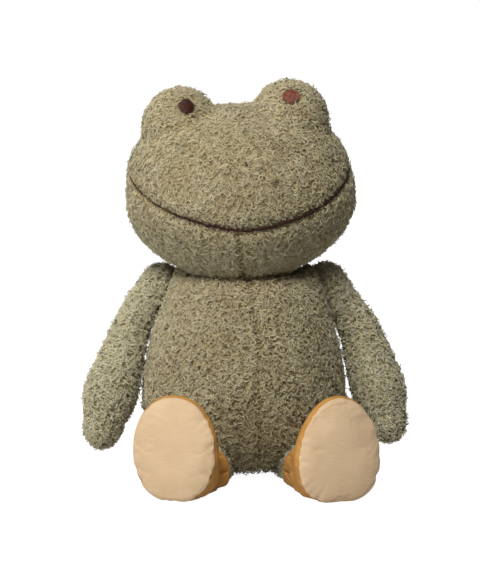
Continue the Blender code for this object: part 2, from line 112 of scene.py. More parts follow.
def build(name, points, faces, material, uv=None, values=None, lie=None):
    """A smooth mesh object from points and arrays of faces, with a map per corner and values per point.

    The last points can be given the way that they lie on, and their normals then turn part of the way to it.
    """
    mesh = bpy.data.meshes.new(name)
    corners = np.concatenate([f.ravel() for f in faces])
    sizes = np.concatenate([np.full(len(f), f.shape[1]) for f in faces])
    mesh.vertices.add(len(points))
    mesh.vertices.foreach_set("co", points.astype(np.float32).ravel())
    mesh.loops.add(len(corners))
    mesh.loops.foreach_set("vertex_index", corners.astype(np.int32))
    mesh.polygons.add(len(sizes))
    mesh.polygons.foreach_set("loop_start", np.concatenate([[0], np.cumsum(sizes)[:-1]]).astype(np.int32))
    mesh.update(calc_edges=True)
    mesh.shade_smooth()
    for label, (layer, per_corner) in (uv or {}).items():
        mesh.uv_layers.new(name=label).data.foreach_set("uv", per_corner.astype(np.float32).ravel())
    for label, value in (values or {}).items():
        mesh.attributes.new(label, "FLOAT", "POINT").data.foreach_set("value", value.astype(np.float32))
    if lie is not None:
        own = np.empty(3 * len(points), np.float32)
        mesh.vertex_normals.foreach_get("vector", own)
        own = own.reshape(-1, 3)
        own[-len(lie):] = unit(own[-len(lie):] * (1 - SOFTENED) + lie * SOFTENED)
        mesh.normals_split_custom_set_from_vertices(own.tolist())
    mesh.materials.append(material)
    item = bpy.data.objects.new(name, mesh)
    bpy.context.scene.collection.objects.link(item)
    return item


def closed_form(name, surface, rows, columns, material):
    """A closed solid: a grid that joins itself across, with a pole at either end."""
    u, v = grid(rows, columns)
    points, _, sign = facing(surface, u, v)
    quads = cells(rows, columns)
    points, _, parts = welded(points.reshape(-1, 3), quads if sign > 0 else quads[:, ::-1])
    return build(name, points, [new for new, _ in parts], material)


def standing(item, body, finish, *nodes):
    """The piece moves with the body and stands for the nodes, whose parts are hidden. The finish is not used."""
    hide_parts(*nodes)
    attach(item, body)
    return item


def add(tree, kind, inputs=None, **settings):
    """A node with its settings. Each input is a value or another node's output."""
    made = tree.nodes.new(kind)
    for key, value in settings.items():
        setattr(made, key, value)
    for key, value in (inputs or {}).items():
        if isinstance(value, bpy.types.NodeSocket):
            tree.links.new(value, made.inputs[key])
        else:
            made.inputs[key].default_value = value
    return made


def new_group(name, inputs, outputs):
    """An empty shader node group with its named inputs, each (kind, value), and outputs."""
    tree = bpy.data.node_groups.new(name, "ShaderNodeTree")
    for label, (kind, value) in inputs.items():
        made = tree.interface.new_socket(label, in_out="INPUT", socket_type=kind)
        if value is not None:
            made.default_value = value
    for label, kind in outputs.items():
        tree.interface.new_socket(label, in_out="OUTPUT", socket_type=kind)
    return tree, tree.nodes.new("NodeGroupInput").outputs, tree.nodes.new("NodeGroupOutput").inputs


def new_material(name, colour, constants):
    """A material of one Principled shader, with the values that are the same all over it."""
    made = bpy.data.materials.new(name)
    made.use_nodes = True
    made.diffuse_color = (*colour, 1)
    shader = made.node_tree.nodes["Principled BSDF"]
    for key, value in constants.items():
        shader.inputs[key].default_value = value
    return made, made.node_tree, shader


MOTTLE, mottle_in, mottle_out = new_group(
    "Cloth mottling",
    {"Vector": ("NodeSocketVector", None), "Patches": ("NodeSocketFloat", 60.0), "Grain": ("NodeSocketFloat", 900.0)},
    {"Patches": "NodeSocketFloat", "Grain": "NodeSocketFloat"},
)
for label, detail in (("Patches", 2.0), ("Grain", 4.0)):
    spots = add(
        MOTTLE, "ShaderNodeTexNoise",
        {"Vector": mottle_in["Vector"], "Scale": mottle_in[label], "Detail": detail},
    )
    MOTTLE.links.new(spots.outputs["Fac"], mottle_out[label])

WEAVE, weave_in, weave_out = new_group(
    "Fine twill",
    {"Vector": ("NodeSocketVector", None), "Threads": ("NodeSocketFloat", 2000.0)},
    {"Height": "NodeSocketFloat", "Slub": "NodeSocketFloat"},
)
turned = add(WEAVE, "ShaderNodeVectorMath", {0: weave_in["Vector"]}, operation="SCALE")
WEAVE.links.new(weave_in["Threads"], turned.inputs["Scale"])
thread = add(WEAVE, "ShaderNodeSeparateXYZ", {0: turned.outputs[0]})
warp = add(WEAVE, "ShaderNodeMath", {0: thread.outputs["X"]}, operation="SINE")
weft = add(WEAVE, "ShaderNodeMath", {0: thread.outputs["Y"]}, operation="SINE")
both = add(WEAVE, "ShaderNodeMath", {0: thread.outputs["X"], 1: thread.outputs["Y"]}, operation="ADD")
rib = add(WEAVE, "ShaderNodeMath", {0: both.outputs[0]}, operation="SINE")
crossing = add(WEAVE, "ShaderNodeMath", {0: warp.outputs[0], 1: weft.outputs[0]}, operation="MULTIPLY")
height = add(WEAVE, "ShaderNodeMath", {0: crossing.outputs[0], 1: rib.outputs[0]}, operation="ADD")
WEAVE.links.new(height.outputs[0], weave_out["Height"])
stretched = add(WEAVE, "ShaderNodeVectorMath", {0: turned.outputs[0], 1: (0.02, 0.25, 0.02)}, operation="MULTIPLY")
slub = add(WEAVE, "ShaderNodeTexNoise", {"Vector": stretched.outputs[0], "Scale": 1.0, "Detail": 1.0})
WEAVE.links.new(slub.outputs["Fac"], weave_out["Slub"])


def cloth_material(name, dark, pale, threads, roughness, bump, layer=None, patches=60.0, sheen=0.3):
    """Woven cloth: patchy colour, slubs along the thread, and a fine twill that lifts it."""
    made, tree, shader = new_material(name, pale, {"Sheen Weight": sheen, "Specular IOR Level": 0.25, "IOR": 1.4})
    place = add(tree, "ShaderNodeTexCoord").outputs["Object"]
    flat = add(tree, "ShaderNodeUVMap", uv_map=layer).outputs["UV"] if layer else place
    mottle = add(tree, "ShaderNodeGroup", {}, node_tree=MOTTLE)
    mottle.inputs["Patches"].default_value = patches
    tree.links.new(place, mottle.inputs["Vector"])
    weave = add(tree, "ShaderNodeGroup", {}, node_tree=WEAVE)
    weave.inputs["Threads"].default_value = threads
    tree.links.new(flat, weave.inputs["Vector"])
    tone = add(tree, "ShaderNodeMath", {0: mottle.outputs["Patches"], 1: weave.outputs["Slub"]}, operation="ADD")
    shade = add(tree, "ShaderNodeMapRange", {"Value": tone.outputs[0], "From Min": 0.7, "From Max": 1.3})
    ramp = add(tree, "ShaderNodeValToRGB", {"Fac": shade.outputs["Result"]})
    ramp.color_ramp.elements[0].color = (*dark, 1)
    ramp.color_ramp.elements[1].color = (*pale, 1)
    tree.links.new(ramp.outputs["Color"], shader.inputs["Base Color"])
    rough = add(
        tree, "ShaderNodeMapRange",
        {"Value": mottle.outputs["Grain"], "To Min": roughness - 0.08, "To Max": roughness + 0.08},
    )
    tree.links.new(rough.outputs["Result"], shader.inputs["Roughness"])
    both = add(tree, "ShaderNodeMath", {0: weave.outputs["Height"], 1: mottle.outputs["Grain"]}, operation="ADD")
    lift = add(tree, "ShaderNodeBump", {"Height": both.outputs[0], "Strength": bump, "Distance": 0.1 * MM})
    tree.links.new(lift.outputs["Normal"], shader.inputs["Normal"])
    return made


def pouch(u, v):
    """A cushion: v goes out over the flat base to the rim and back over the crown, and pellets lump its skin."""
    out = 1 - np.abs(2 * v - 1)
    angle = TURN * u
    corner = (np.abs(np.sin(angle)) ** POUCH_CORNER + np.abs(np.cos(angle)) ** POUCH_CORNER) ** (-1 / POUCH_CORNER)
    plump = (1 - out**2.2) ** 0.75
    rise = np.where(v < 0.5, POUCH_RIM_RISE * (1 - plump), POUCH_RIM_RISE + POUCH_CROWN * plump)
    points = np.stack([
        POUCH_HALF_WIDTH * out * corner * np.sin(angle),
        -POUCH_HALF_DEPTH * out * corner * np.cos(angle),
        POUCH_BASE + rise,
    ], -1)
    lump = waves(points, PELLET_SPACING, 3)[0] * PELLET_LUMP * np.clip(rise / POUCH_RIM_RISE, 0, 1)
    points[..., 2] += lump * np.where(v < 0.5, 0, 1)
    return points


CALICO = cloth_material("calico", (0.42, 0.40, 0.35), (0.62, 0.60, 0.54), 2600.0, 0.85, 0.5)
pellet_bag = closed_form("pellet_bag", pouch, 73, 97, CALICO)
standing(pellet_bag, "torso", "pouch_cloth", "pellet_pouch")

# The trunk's stuffing: white polyester wadding packed firm inside the pile.
# It is hollowed over the pouch, under the neck and where each arm's ball sits.
TRUNK_HEIGHT = 155.5 * MM
TRUNK_HALF_WIDTH = 78.0 * MM
TRUNK_FRONT = 66.0 * MM
TRUNK_BACK = 62.0 * MM
TRUNK_CORNER = 2.2
TRUNK_PROFILE = (
    (0.0, 0.0), (0.001, 0.20), (0.008, 0.38), (0.026, 0.55), (0.060, 0.705), (0.12, 0.86),
    (0.21, 0.965), (0.33, 1.008), (0.44, 1.006), (0.55, 0.978), (0.655, 0.930), (0.76, 0.872),
    (0.855, 0.81), (0.93, 0.735), (0.974, 0.615), (0.994, 0.38), (1.0, 0.0),
)
TRUNK_LEVELS = len(TRUNK_PROFILE) - 1
TRUNK_LEAN = -1.0 * MM
FLAT_DEPTH = 0.5 * MM
STUFFING_DEPTH = 6.0 * MM
NECK = np.array((0, 0, 152.0)) * MM
NECK_RADIUS = 36.0 * MM
TURNING_GAP = 0.3 * MM
SHOULDER_LIFT = 8.0 * MM
SHOULDER_RADIUS = 18.0 * MM
SHOULDERS = {side: np.array((side * 64.0, 14.0, 142.0)) * MM for side in (1, -1)}


def spline(shares, at):
    """Points of a smooth curve through the given ones: cubic spans whose end slopes follow the chords beside them."""
    points = np.asarray(shares, float)
    padded = np.concatenate([2 * points[:1] - points[1:2], points, 2 * points[-1:] - points[-2:-1]])
    start = np.clip(np.floor(at).astype(int), 0, len(points) - 2)
    t = (at - start)[..., None]
    a, b, c, d = (padded[start + k] for k in range(4))
    return b + t / 2 * (c - a + t * (2 * a - 5 * b + 4 * c - d + t * (3 * (b - c) + d - a)))


def trunk_lean(rise):
    """How far the trunk's middle line bows to the frog's right: half a sine wave up its height."""
    return TRUNK_LEAN * np.sin(math.pi * np.clip(rise / TRUNK_HEIGHT, 0, 1))


def hollowed(points, centre, radius):
    """Points nearer to the centre than the radius are moved straight away from it to the radius."""
    away = points - centre
    far = np.linalg.norm(away, axis=-1, keepdims=True)
    return centre + away * np.maximum(1, radius / np.maximum(far, 1e-9))


def trunk(angle, level):
    """The trunk's skin: an egg-shaped section round the upright, whose size and height follow the profile.

    The shoulders are lifted by a bell-shaped rise.
    """
    up, out = np.moveaxis(spline(TRUNK_PROFILE, np.clip(level, 0, TRUNK_LEVELS)), -1, 0)
    along, across = -np.cos(angle), np.sin(angle)
    depth = np.where(along < 0, TRUNK_FRONT, TRUNK_BACK)
    reach = np.abs(along / depth) ** TRUNK_CORNER + np.abs(across / TRUNK_HALF_WIDTH) ** TRUNK_CORNER
    reach = reach ** (-1 / TRUNK_CORNER) * out
    rise = np.maximum(up * (TRUNK_HEIGHT + FLAT_DEPTH) - FLAT_DEPTH, 0)
    x, y = across * reach, along * reach
    high = np.clip(rise / TRUNK_HEIGHT / 0.16 - 5, 0, 1)
    lift = SHOULDER_LIFT * high * np.exp(-(((np.abs(x) - 54 * MM) / (12 * MM)) ** 2) - ((y - 6 * MM) / (25 * MM)) ** 2)
    points = np.stack([x + trunk_lean(rise), y, rise + lift], -1)
    for centre in SHOULDERS.values():
        points = hollowed(points, centre, SHOULDER_RADIUS + TURNING_GAP)
    return points


def trunk_stuffing(u, v):
    """The trunk's skin moved inward, its base lifted over the pouch and its top pressed in by the neck."""
    skin = lambda a, b: trunk(TURN * a, TRUNK_LEVELS * b)
    points, normal, _ = facing(skin, u, v)
    points = points - normal * STUFFING_DEPTH
    aside = (np.abs(points[..., 0] / POUCH_HALF_WIDTH) ** POUCH_CORNER
             + np.abs(points[..., 1] / POUCH_HALF_DEPTH) ** POUCH_CORNER) ** (1 / POUCH_CORNER)
    over = np.clip(1 - (aside / 1.06) ** 2.2, 0, 1) ** 0.75
    lift = POUCH_BASE + POUCH_RIM_RISE + 1.2 * MM + POUCH_CROWN * over
    low = (v < 0.25) & (aside < 1.06)
    points[..., 2] = np.where(low, np.maximum(points[..., 2], lift), np.maximum(points[..., 2], 4.4 * MM))
    for centre in SHOULDERS.values():
        points = hollowed(points, centre, SHOULDER_RADIUS + STUFFING_DEPTH)
    beyond = np.maximum(np.hypot(points[..., 0], points[..., 1]) - 40 * MM, 0)
    points[..., 2] = np.minimum(points[..., 2], NECK[2] - 9 * MM + 0.6 * beyond)
    return hollowed(points, NECK, NECK_RADIUS + STUFFING_DEPTH / 2)


def wadding_material():
    """White fibre: soft patches and fine crimped strands that lift it."""
    made, tree, shader = new_material("wadding", (0.85, 0.85, 0.83), {"Sheen Weight": 0.2})
    mottle = add(tree, "ShaderNodeGroup", {}, node_tree=MOTTLE)
    mottle.inputs["Patches"].default_value = 120.0
    mottle.inputs["Grain"].default_value = 1400.0
    tree.links.new(add(tree, "ShaderNodeTexCoord").outputs["Object"], mottle.inputs["Vector"])
    ramp = add(tree, "ShaderNodeValToRGB", {"Fac": mottle.outputs["Patches"]})
    ramp.color_ramp.elements[0].color = (0.74, 0.74, 0.72, 1)
    ramp.color_ramp.elements[1].color = (0.88, 0.88, 0.87, 1)
    tree.links.new(ramp.outputs["Color"], shader.inputs["Base Color"])
    rough = add(tree, "ShaderNodeMapRange", {"Value": mottle.outputs["Grain"], "To Min": 0.85, "To Max": 1.0})
    tree.links.new(rough.outputs["Result"], shader.inputs["Roughness"])
    lift = add(tree, "ShaderNodeBump", {"Height": mottle.outputs["Grain"], "Strength": 0.6, "Distance": 0.6 * MM})
    tree.links.new(lift.outputs["Normal"], shader.inputs["Normal"])
    return made


WADDING = wadding_material()
stuffing = closed_form("trunk_stuffing", trunk_stuffing, 97, 97, WADDING)
standing(stuffing, "torso", "stuffing", "trunk_filling")

# The trunk's pile: five panels of curly yarn knitted into a backing, sewn inside out and turned.
# The seat is one panel, and the belly and back are two each, with the nap combed down.
BACKING_DEPTHS = (3.1 * MM, 4.0 * MM)
ROOT_DEPTH = 3.4 * MM
SEAM_GAP = 0.3 * MM
CURL_LENGTH = 6.2 * MM
CURL_WIDTH = 0.90 * MM
CURL_TAPER = (0.8, 1.0, 0.85)
CURL_RISES = np.radians((60.0, 22.0, -8.0))
TUFT_SPACING = 6.0 * MM
CLUMP_SPACING = 4.6 * MM
CLUMP_HEIGHT = 0.5 * MM
CLUMP_SHADING = (0.34 * MM, 0.26 * MM)
MOST_CURLS = 11800
PILE_DENSITY = 0.70e6
GROOVE_DEPTH = 1.6 * MM
GROOVE_WIDTH = 2.6 * MM
# How much the pile along a seam's groove is darkened: painted shade.
SEAM_PAINTED_SHADE = 0.3
BELLY_SEAM_SHIFT = 0.115
SEAT_LEVEL = 4.0
SEAT_FLOORS = (0.9 * MM, 0.5 * MM)
GOLDEN_STEPS = (0.7548776662466927, 0.5698402909980532)


def from_line(points, line):
    """How far each point lies from a line of points, and the way from the line to it."""
    start, span = line[:-1], line[1:] - line[:-1]
    away = points[:, None] - start
    share = np.clip((away * span).sum(-1) / (span * span).sum(-1), 0, 1)
    away = away - share[..., None] * span
    far = np.linalg.norm(away, axis=-1)
    nearest = far.argmin(axis=1)
    row = np.arange(len(points))
    return far[row, nearest], unit(away[row, nearest])


def spread(surface, density, most, seed, rows=80, columns=80):
    """Even places on a surface: two golden-ratio sequences, one laid over the area down it and one across each row."""
    u, v = grid(rows + 1, columns + 1)
    p = surface(u, v)
    area = np.linalg.norm(np.cross(p[1:, 1:] - p[:-1, :-1], p[1:, :-1] - p[:-1, 1:]), axis=-1) / 2
    count = min(int(area.sum() * density), most)
    number = np.arange(count) + seed * 0.37
    s, t = (np.mod(number * step, 1) for step in GOLDEN_STEPS)
    down = np.concatenate([[0], np.cumsum(area.sum(1))]) / area.sum()
    v = np.interp(t, down, np.linspace(0, 1, rows + 1))
    row = np.minimum((v * rows).astype(int), rows - 1)
    share = np.cumsum(area, axis=1) / area.sum(axis=1, keepdims=True)
    column = np.minimum((share[row] < s[:, None]).sum(axis=1), columns - 1)
    before = np.where(column > 0, share[row, column - 1], 0)
    u = (column + (s - before) / np.maximum(share[row, column] - before, 1e-12)) / columns
    return np.clip(u, 0, 1), v


def curls(root, normal, lean, length, width, rng, laid):
    """Curled yarn ends as three-sided tubes: the heading turns at a steady rate while the rise falls past level."""
    count, steps = len(root), len(CURL_RISES)
    side = unit(np.cross(normal, lean))
    ahead = np.cross(side, normal)
    start = rng.normal(0, 0.75, (count, 1))
    bend = rng.uniform(0.5, 1.5, (count, 1)) * rng.choice((-1.0, 1.0), (count, 1))
    rise = np.clip(CURL_RISES * (1 - laid) + rng.normal(0, 0.2 - 0.2 * laid, (count, 1)), -0.6, 1.3)
    heading = start + bend * np.arange(steps)

    def way(heading, rise):
        level = np.cos(heading)[..., None] * ahead[:, None] + np.sin(heading)[..., None] * side[:, None]
        return np.cos(rise)[..., None] * level + np.sin(rise)[..., None] * normal[:, None]

    moved = np.cumsum(way(heading, rise) * (length / steps)[:, None, None], axis=1)
    centre = np.concatenate([root[:, None], root[:, None] + moved], axis=1)
    ring_heading = start + bend * (np.arange(steps) - 0.5)
    ring_rise = np.concatenate([rise[:, :1], (rise[:, 1:] + rise[:, :-1]) / 2], axis=1)
    level = -np.sin(ring_heading)[..., None] * ahead[:, None] + np.cos(ring_heading)[..., None] * side[:, None]
    upright = np.cross(way(ring_heading, ring_rise), level)
    angle = TURN / 3 * np.arange(3)
    radius = (width / 2)[:, None] * np.array(CURL_TAPER)
    spoke = level[:, :, None] * np.cos(angle)[:, None] + upright[:, :, None] * np.sin(angle)[:, None]
    rings = centre[:, :steps, None] + spoke * radius[..., None, None]
    points = np.concatenate([rings.reshape(count, 3 * steps, 3), centre[:, -1:]], axis=1)
    j = np.arange(3)
    k = np.arange(steps - 1)[:, None] * 3
    side_faces = np.stack([k + j, k + (j + 1) % 3, k + 3 + (j + 1) % 3, k + 3 + j], -1).reshape(-1, 4)
    last = 3 * (steps - 1)
    caps = np.concatenate([np.stack([last + j, last + (j + 1) % 3, np.full(3, 3 * steps)], -1), [[2, 1, 0]]])
    first = (np.arange(count) * (3 * steps + 1))[:, None, None]
    share = np.append(np.repeat(np.arange(steps) / steps, 3), 1.0)
    return points, (side_faces + first).reshape(-1, 4), (caps + first).reshape(-1, 3), share


def no_change(points):
    return np.ones(len(points))


def pile_panel(name, surface, seed, tone, combed, seams=(), lengths=no_change, closed=False,
               density=PILE_DENSITY, most=MOST_CURLS, rows=44, columns=44, parting=1.0, shaped=None, sink=0.0,
               pale_roots=0.0, laid=0.0):
    """One panel: a thin backing below the skin, and curls rooted in it that lean to the tufts and with the comb.

    Near a seam the skin dips by a bell-shaped groove, and the curls part from it.
    """
    rng = np.random.default_rng(seed)

    def sunk(u, v, depth):
        points, normal, sign = facing(surface, u, v)
        flat, ways = points.reshape(-1, 3), normal.reshape(-1, 3)
        dip = np.zeros(len(flat))
        part = np.zeros_like(flat)
        dark = np.zeros(len(flat))
        for line in seams:
            far, away = from_line(flat, line)
            bell = np.exp(-((far / GROOVE_WIDTH) ** 2))
            dip = np.maximum(dip, bell * GROOVE_DEPTH)
            # The seam's groove is darkened in the curls' colour: painted shade.
            dark = np.maximum(dark, bell * SEAM_PAINTED_SHADE * parting)
            part += away * np.exp(-((far / (1.6 * GROOVE_WIDTH)) ** 2))[:, None] * 2.2 * parting
        lower = flat - ways * (dip + depth + sink)[:, None]
        return lower.reshape(points.shape), normal, sign, part, dark

    u, v = grid(rows, columns)
    outer, normal, sign, _, _ = sunk(u, v, BACKING_DEPTHS[0])
    inner = outer - normal * (BACKING_DEPTHS[1] - BACKING_DEPTHS[0])
    index = np.arange(rows * columns).reshape(rows, columns)
    ring = np.concatenate([index[0, :-1], index[:-1, -1], index[-1, :0:-1], index[:0:-1, 0]])
    rings = [np.append(ring, ring[0])]
    if closed:
        rings = [index[0], index[-1, ::-1]]
    count = rows * columns
    quads = [cells(rows, columns), cells(rows, columns)[:, ::-1] + count]
    for line in rings:
        quads.append(np.stack([line[1:], line[:-1], line[:-1] + count, line[1:] + count], -1))
    quads = np.concatenate(quads)
    if sign < 0:
        quads = quads[:, ::-1]
    both = np.concatenate([outer.reshape(-1, 3), inner.reshape(-1, 3)])
    if shaped == "seat":
        both[:, 2] = np.maximum(both[:, 2], np.repeat(SEAT_FLOORS, count))
    chart = np.stack([0.83 + 0.16 * u.ravel(), 0.02 + 0.96 * v.ravel()], -1)
    chart = np.concatenate([chart, chart])
    points, first, parts = welded(both, quads)
    mottled = waves(points, 9 * MM, seed + 1)[0] * 0.5 + waves(points, 2.4 * MM, seed + 2)[0] * 0.5
    # The backing takes the roots' dark colour: painted shadow of the deep pile.
    tips = [np.clip(0.14 + 0.05 * mottled, 0.02, 0.3)]
    shades = [np.clip(tone + 0.08 * mottled, 0, 1)]
    faces = [new for new, _ in parts]
    maps = [chart[old] for _, old in parts]

    u, v = spread(surface, density, most, seed)
    u = np.clip(u + rng.normal(0, 0.002, len(u)), 0, 1)
    v = np.clip(v + rng.normal(0, 0.002, len(v)), 0, 1)
    root, normal, _, part, dark = sunk(u, v, ROOT_DEPTH)
    skin = surface(u, v)
    size = lengths(skin)
    hold = size > 0.05
    root, normal, part, size, skin, dark = (each[hold] for each in (root, normal, part, size, skin, dark))
    clump, clump_slope = waves(skin, CLUMP_SPACING, 14, 16)
    root = root + normal * (CLUMP_HEIGHT * np.clip(clump, -1.6, 1.6))[:, None]
    height, slope = waves(skin, TUFT_SPACING, 11, 16)
    coarse, coarse_slope = waves(skin, 2.3 * TUFT_SPACING, 12)
    lean = unit(slope + 0.6 * coarse_slope) * 0.9 + combed(skin) + unit(rng.normal(size=root.shape)) * 0.75 + part
    random = rng.random(len(root))
    long = CURL_LENGTH * size * (0.97 + 0.08 * np.tanh(height) + 0.3 * (random - 0.5) + 0.15 * (random > 0.94))
    wide = CURL_WIDTH * (1 - 0.15 * laid) * (0.82 + 0.36 * rng.random(len(root))) * np.clip(size + 0.35, 0, 1)
    curl, side_faces, cap_faces, share = curls(root, normal, lean, long, wide, rng, laid)
    lie = normal - CLUMP_SHADING[0] * clump_slope - CLUMP_SHADING[1] * slope
    shade = tone + 0.12 * (1 - pale_roots) * (rng.random(len(root)) - 0.5)
    # Painted shade and light: curls rooted low in the clumps' hollows, and on low tufts, are darker, and those on the
    # rises lighter. The coarse field adds a random tone. The seams' bells take off painted shade for their grooves.
    shade = shade + 0.10 * clump + 0.05 * height + 0.04 * coarse - dark
    # Painted shade: curls near the neck's crease, and where the pile is pressed short (the cleft by the arms, round the
    # mouth and eyes), are given a darker tone.
    painted_crease_shade = np.exp((NECK_RADIUS + 1.5 * MM - np.linalg.norm(skin - NECK, axis=1)) / (5 * MM)).clip(0, 1)
    painted_crease_shade = np.maximum(painted_crease_shade, 0.8 * np.clip((0.7 - size) / 0.3, 0, 1))
    shade = shade - 0.22 * (1 - size) - 0.5 * painted_crease_shade
    shade = np.clip(shade + 0.10 * (waves(skin, 30 * MM, 13)[0]) * 0.5, 0.02, 0.98)
    curl[..., 2] = np.maximum(curl[..., 2], 0.15 * MM + 0.25 * MM * rng.random((len(root), 1)))
    start = len(points)
    stripe = np.append(np.tile((-1.0, 0.0, 1.0), len(CURL_RISES)), 0.0) * 0.003
    uv = np.stack(np.broadcast_arrays(0.02 + 0.76 * share, (0.02 + 0.96 * shade[:, None]) + stripe), -1).reshape(-1, 2)
    points = np.concatenate([points, curl.reshape(-1, 3)])
    # Painted shade: near the neck's crease, in pressed clefts and at the seams, the curls' tips are darkened toward the
    # root colour.
    lit = 1 - np.maximum(0.85 * painted_crease_shade, 1.6 * dark)
    tips.append(((pale_roots + (1 - pale_roots) * share) * lit[:, None]).ravel())
    shades.append(np.repeat(shade, len(share)))
    faces += [side_faces + start, cap_faces + start]
    maps += [uv[side_faces], uv[cap_faces]]
    order = [0, 2, 1, 3]
    faces = [np.concatenate([faces[0], faces[2]]), np.concatenate([faces[1], faces[3]])]
    flat = np.concatenate([maps[k].reshape(-1, 2) for k in order])
    uv_map = {"OFBake": (0, flat)}
    values = {"pile_tip": np.concatenate(tips), "pile_shade": np.concatenate(shades)}
    return build(name, points, faces, PILE, uv_map, values, np.repeat(unit(lie), len(share), axis=0))


def pile_material():
    """Curly yarn: deep olive shadow at the root and dusty sage at the tip, with each curl a little lighter or darker."""
    made, tree, shader = new_material(
        "pile", (0.32, 0.27, 0.165),
        {"Sheen Weight": 0.12, "Sheen Roughness": 0.6, "Specular IOR Level": 0.15, "Subsurface Weight": 0.6,
         "Subsurface Radius": (1.0, 0.9, 0.6), "Subsurface Scale": 1.3 * MM}
    )
    tip = add(tree, "ShaderNodeAttribute", attribute_name="pile_tip").outputs["Fac"]
    shade = add(tree, "ShaderNodeAttribute", attribute_name="pile_shade").outputs["Fac"]
    ends = []
    for dark, pale in PILE_COLOURS:
        ramp = add(tree, "ShaderNodeValToRGB", {"Fac": shade})
        ramp.color_ramp.elements[0].color = (*dark, 1)
        ramp.color_ramp.elements[1].color = (*pale, 1)
        ends.append(ramp.outputs["Color"])
    along = add(
        tree, "ShaderNodeMapRange", {"Value": tip, "From Min": 0.0, "From Max": 0.6},
        interpolation_type="SMOOTHSTEP",
    )
    mixed = add(tree, "ShaderNodeMix", {0: along.outputs["Result"], 6: ends[0], 7: ends[1]}, data_type="RGBA")
    tree.links.new(mixed.outputs[2], shader.inputs["Base Color"])
    rough = add(tree, "ShaderNodeMapRange", {"Value": tip, "To Min": 1.0, "To Max": 0.8})
    tree.links.new(rough.outputs["Result"], shader.inputs["Roughness"])
    return made


PILE_COLOURS = (
    ((0.16, 0.111, 0.044), (0.34, 0.278, 0.147)),
    ((0.305, 0.228, 0.104), (0.58, 0.523, 0.330)),
)
PILE = pile_material()


def trunk_top(angle):
    """The level at which the trunk's skin meets the neck's ball, by halving the span between two levels."""
    low, high = np.full(np.shape(angle), SEAT_LEVEL + 2), np.full(np.shape(angle), float(TRUNK_LEVELS))
    for _ in range(22):
        level = (low + high) / 2
        inside = np.linalg.norm(trunk(angle, level) - NECK, axis=-1) < NECK_RADIUS + TURNING_GAP
        low, high = np.where(inside, low, level), np.where(inside, level, high)
    return low


def belly_seam(level):
    """The angle of the belly's seam, which wanders to the frog's left below the chest."""
    return BELLY_SEAM_SHIFT * np.clip((TRUNK_LEVELS - 1.5 - level) / 5, 0, 1)


def trunk_quarter(start, end):
    """A panel between two seams, from the seat up to the neck."""
    def surface(u, v):
        angle = TURN / 4 * (start + (end - start) * u)
        level = SEAT_LEVEL + v * (trunk_top(angle) - SEAT_LEVEL)
        if start == 0 or end == 4:
            near = 1 - u if start == 0 else u
            angle = angle + belly_seam(level) * near
        return trunk(angle, level)
    return surface


def edge_line(surface, u=None, v=None, count=50):
    """Points along one edge of a surface."""
    along = np.linspace(0, 1, count)
    fixed = np.full(count, u if v is None else v, float)
    return surface(fixed, along) if v is None else surface(along, fixed)


def downward(points):
    return np.array((0, 0, -0.55)) * np.ones((len(points), 1))


def trunk_lengths(points):
    """Full length over the open trunk, short where the neck or an arm presses on it and at the floor."""
    size = np.ones(len(points))
    for centre in SHOULDERS.values():
        near = np.linalg.norm(points - centre, axis=1) - SHOULDER_RADIUS - TURNING_GAP
        size = np.minimum(size, np.where(near < 0.1 * MM, 0, np.clip(0.45 + near / (9 * MM), 0, 1)))
    near = np.linalg.norm(points - NECK, axis=1) - NECK_RADIUS
    size = np.minimum(size, np.clip(0.8 + near / (16 * MM), 0, 1))
    size = np.minimum(size, np.where(points[:, 2] < 1.5 * MM, 0.35, 1))
    return size


side_seams = [edge_line(trunk_quarter(k, k + 1), u=0.0) for k in (0, 1, 2, 3)]
seat_seam = edge_line(lambda u, v: trunk(TURN * u, np.full(np.shape(u), SEAT_LEVEL)), v=0.0, count=120)
# The trunk's pile takes a darker, browner tone than the head's and the arms': painted shade under the head and painted
# warm bounce light, in the same pile.
TRUNK_PAINTED_SHADE_TONE = 0.42
seat_pile = pile_panel(
    "seat_pile", lambda u, v: trunk(TURN * u, SEAT_LEVEL * (1 - v)), 20, TRUNK_PAINTED_SHADE_TONE, downward, [seat_seam],
    trunk_lengths, closed=True, density=0.22e6, rows=30, columns=97, shaped="seat",
)
standing(seat_pile, "torso", "pile", "seat_panel")
for number, name in enumerate(("belly_left", "back_left", "back_right", "belly_right")):
    front = number in (0, 3)
    panel = pile_panel(
        name + "_pile", trunk_quarter(number, number + 1), 21 + number, TRUNK_PAINTED_SHADE_TONE, downward,
        [side_seams[number], side_seams[(number + 1) % 4], seat_seam], trunk_lengths,
        density=PILE_DENSITY if front else 0.36e6, parting=0.5 if front else 0.8,
    )
    standing(panel, "torso", "pile", name + "_panel")

# The closing stitch: a ladder of sewing thread that shuts the stuffing hole in the back seam.
# It is drawn tight, so it lies low between the two back panels.
STITCH_THREAD = 0.9 * MM
STITCH_START = 55.0 * MM
STITCH_RUN = 55.0 * MM
STITCH_WIDTH = 2.4 * MM
STITCH_COUNT = 8


def cord(name, path, radius, sides, material, values=None):
    """A round thread with closed ends along a path of points: a ring on each point, square to the path."""
    way = unit(np.gradient(path, axis=0))
    guide = np.broadcast_to((0.0, 0.31, 0.95), way.shape)
    level = unit(np.cross(way, guide))
    upright = np.cross(way, level)
    angle = np.linspace(0, TURN, sides + 1)
    radius = np.broadcast_to(radius, len(path))
    spoke = level[:, None] * np.cos(angle)[:, None] + upright[:, None] * np.sin(angle)[:, None]
    ring = path[:, None] + spoke * radius[:, None, None]
    ends = [np.broadcast_to(path[k], ring[:1].shape) for k in (0, -1)]
    points = np.concatenate([ends[0], ring, ends[1]])
    quads = cells(*points.shape[:2])
    points, _, parts = welded(points.reshape(-1, 3), quads[:, ::-1])
    return points, [new for new, _ in parts]


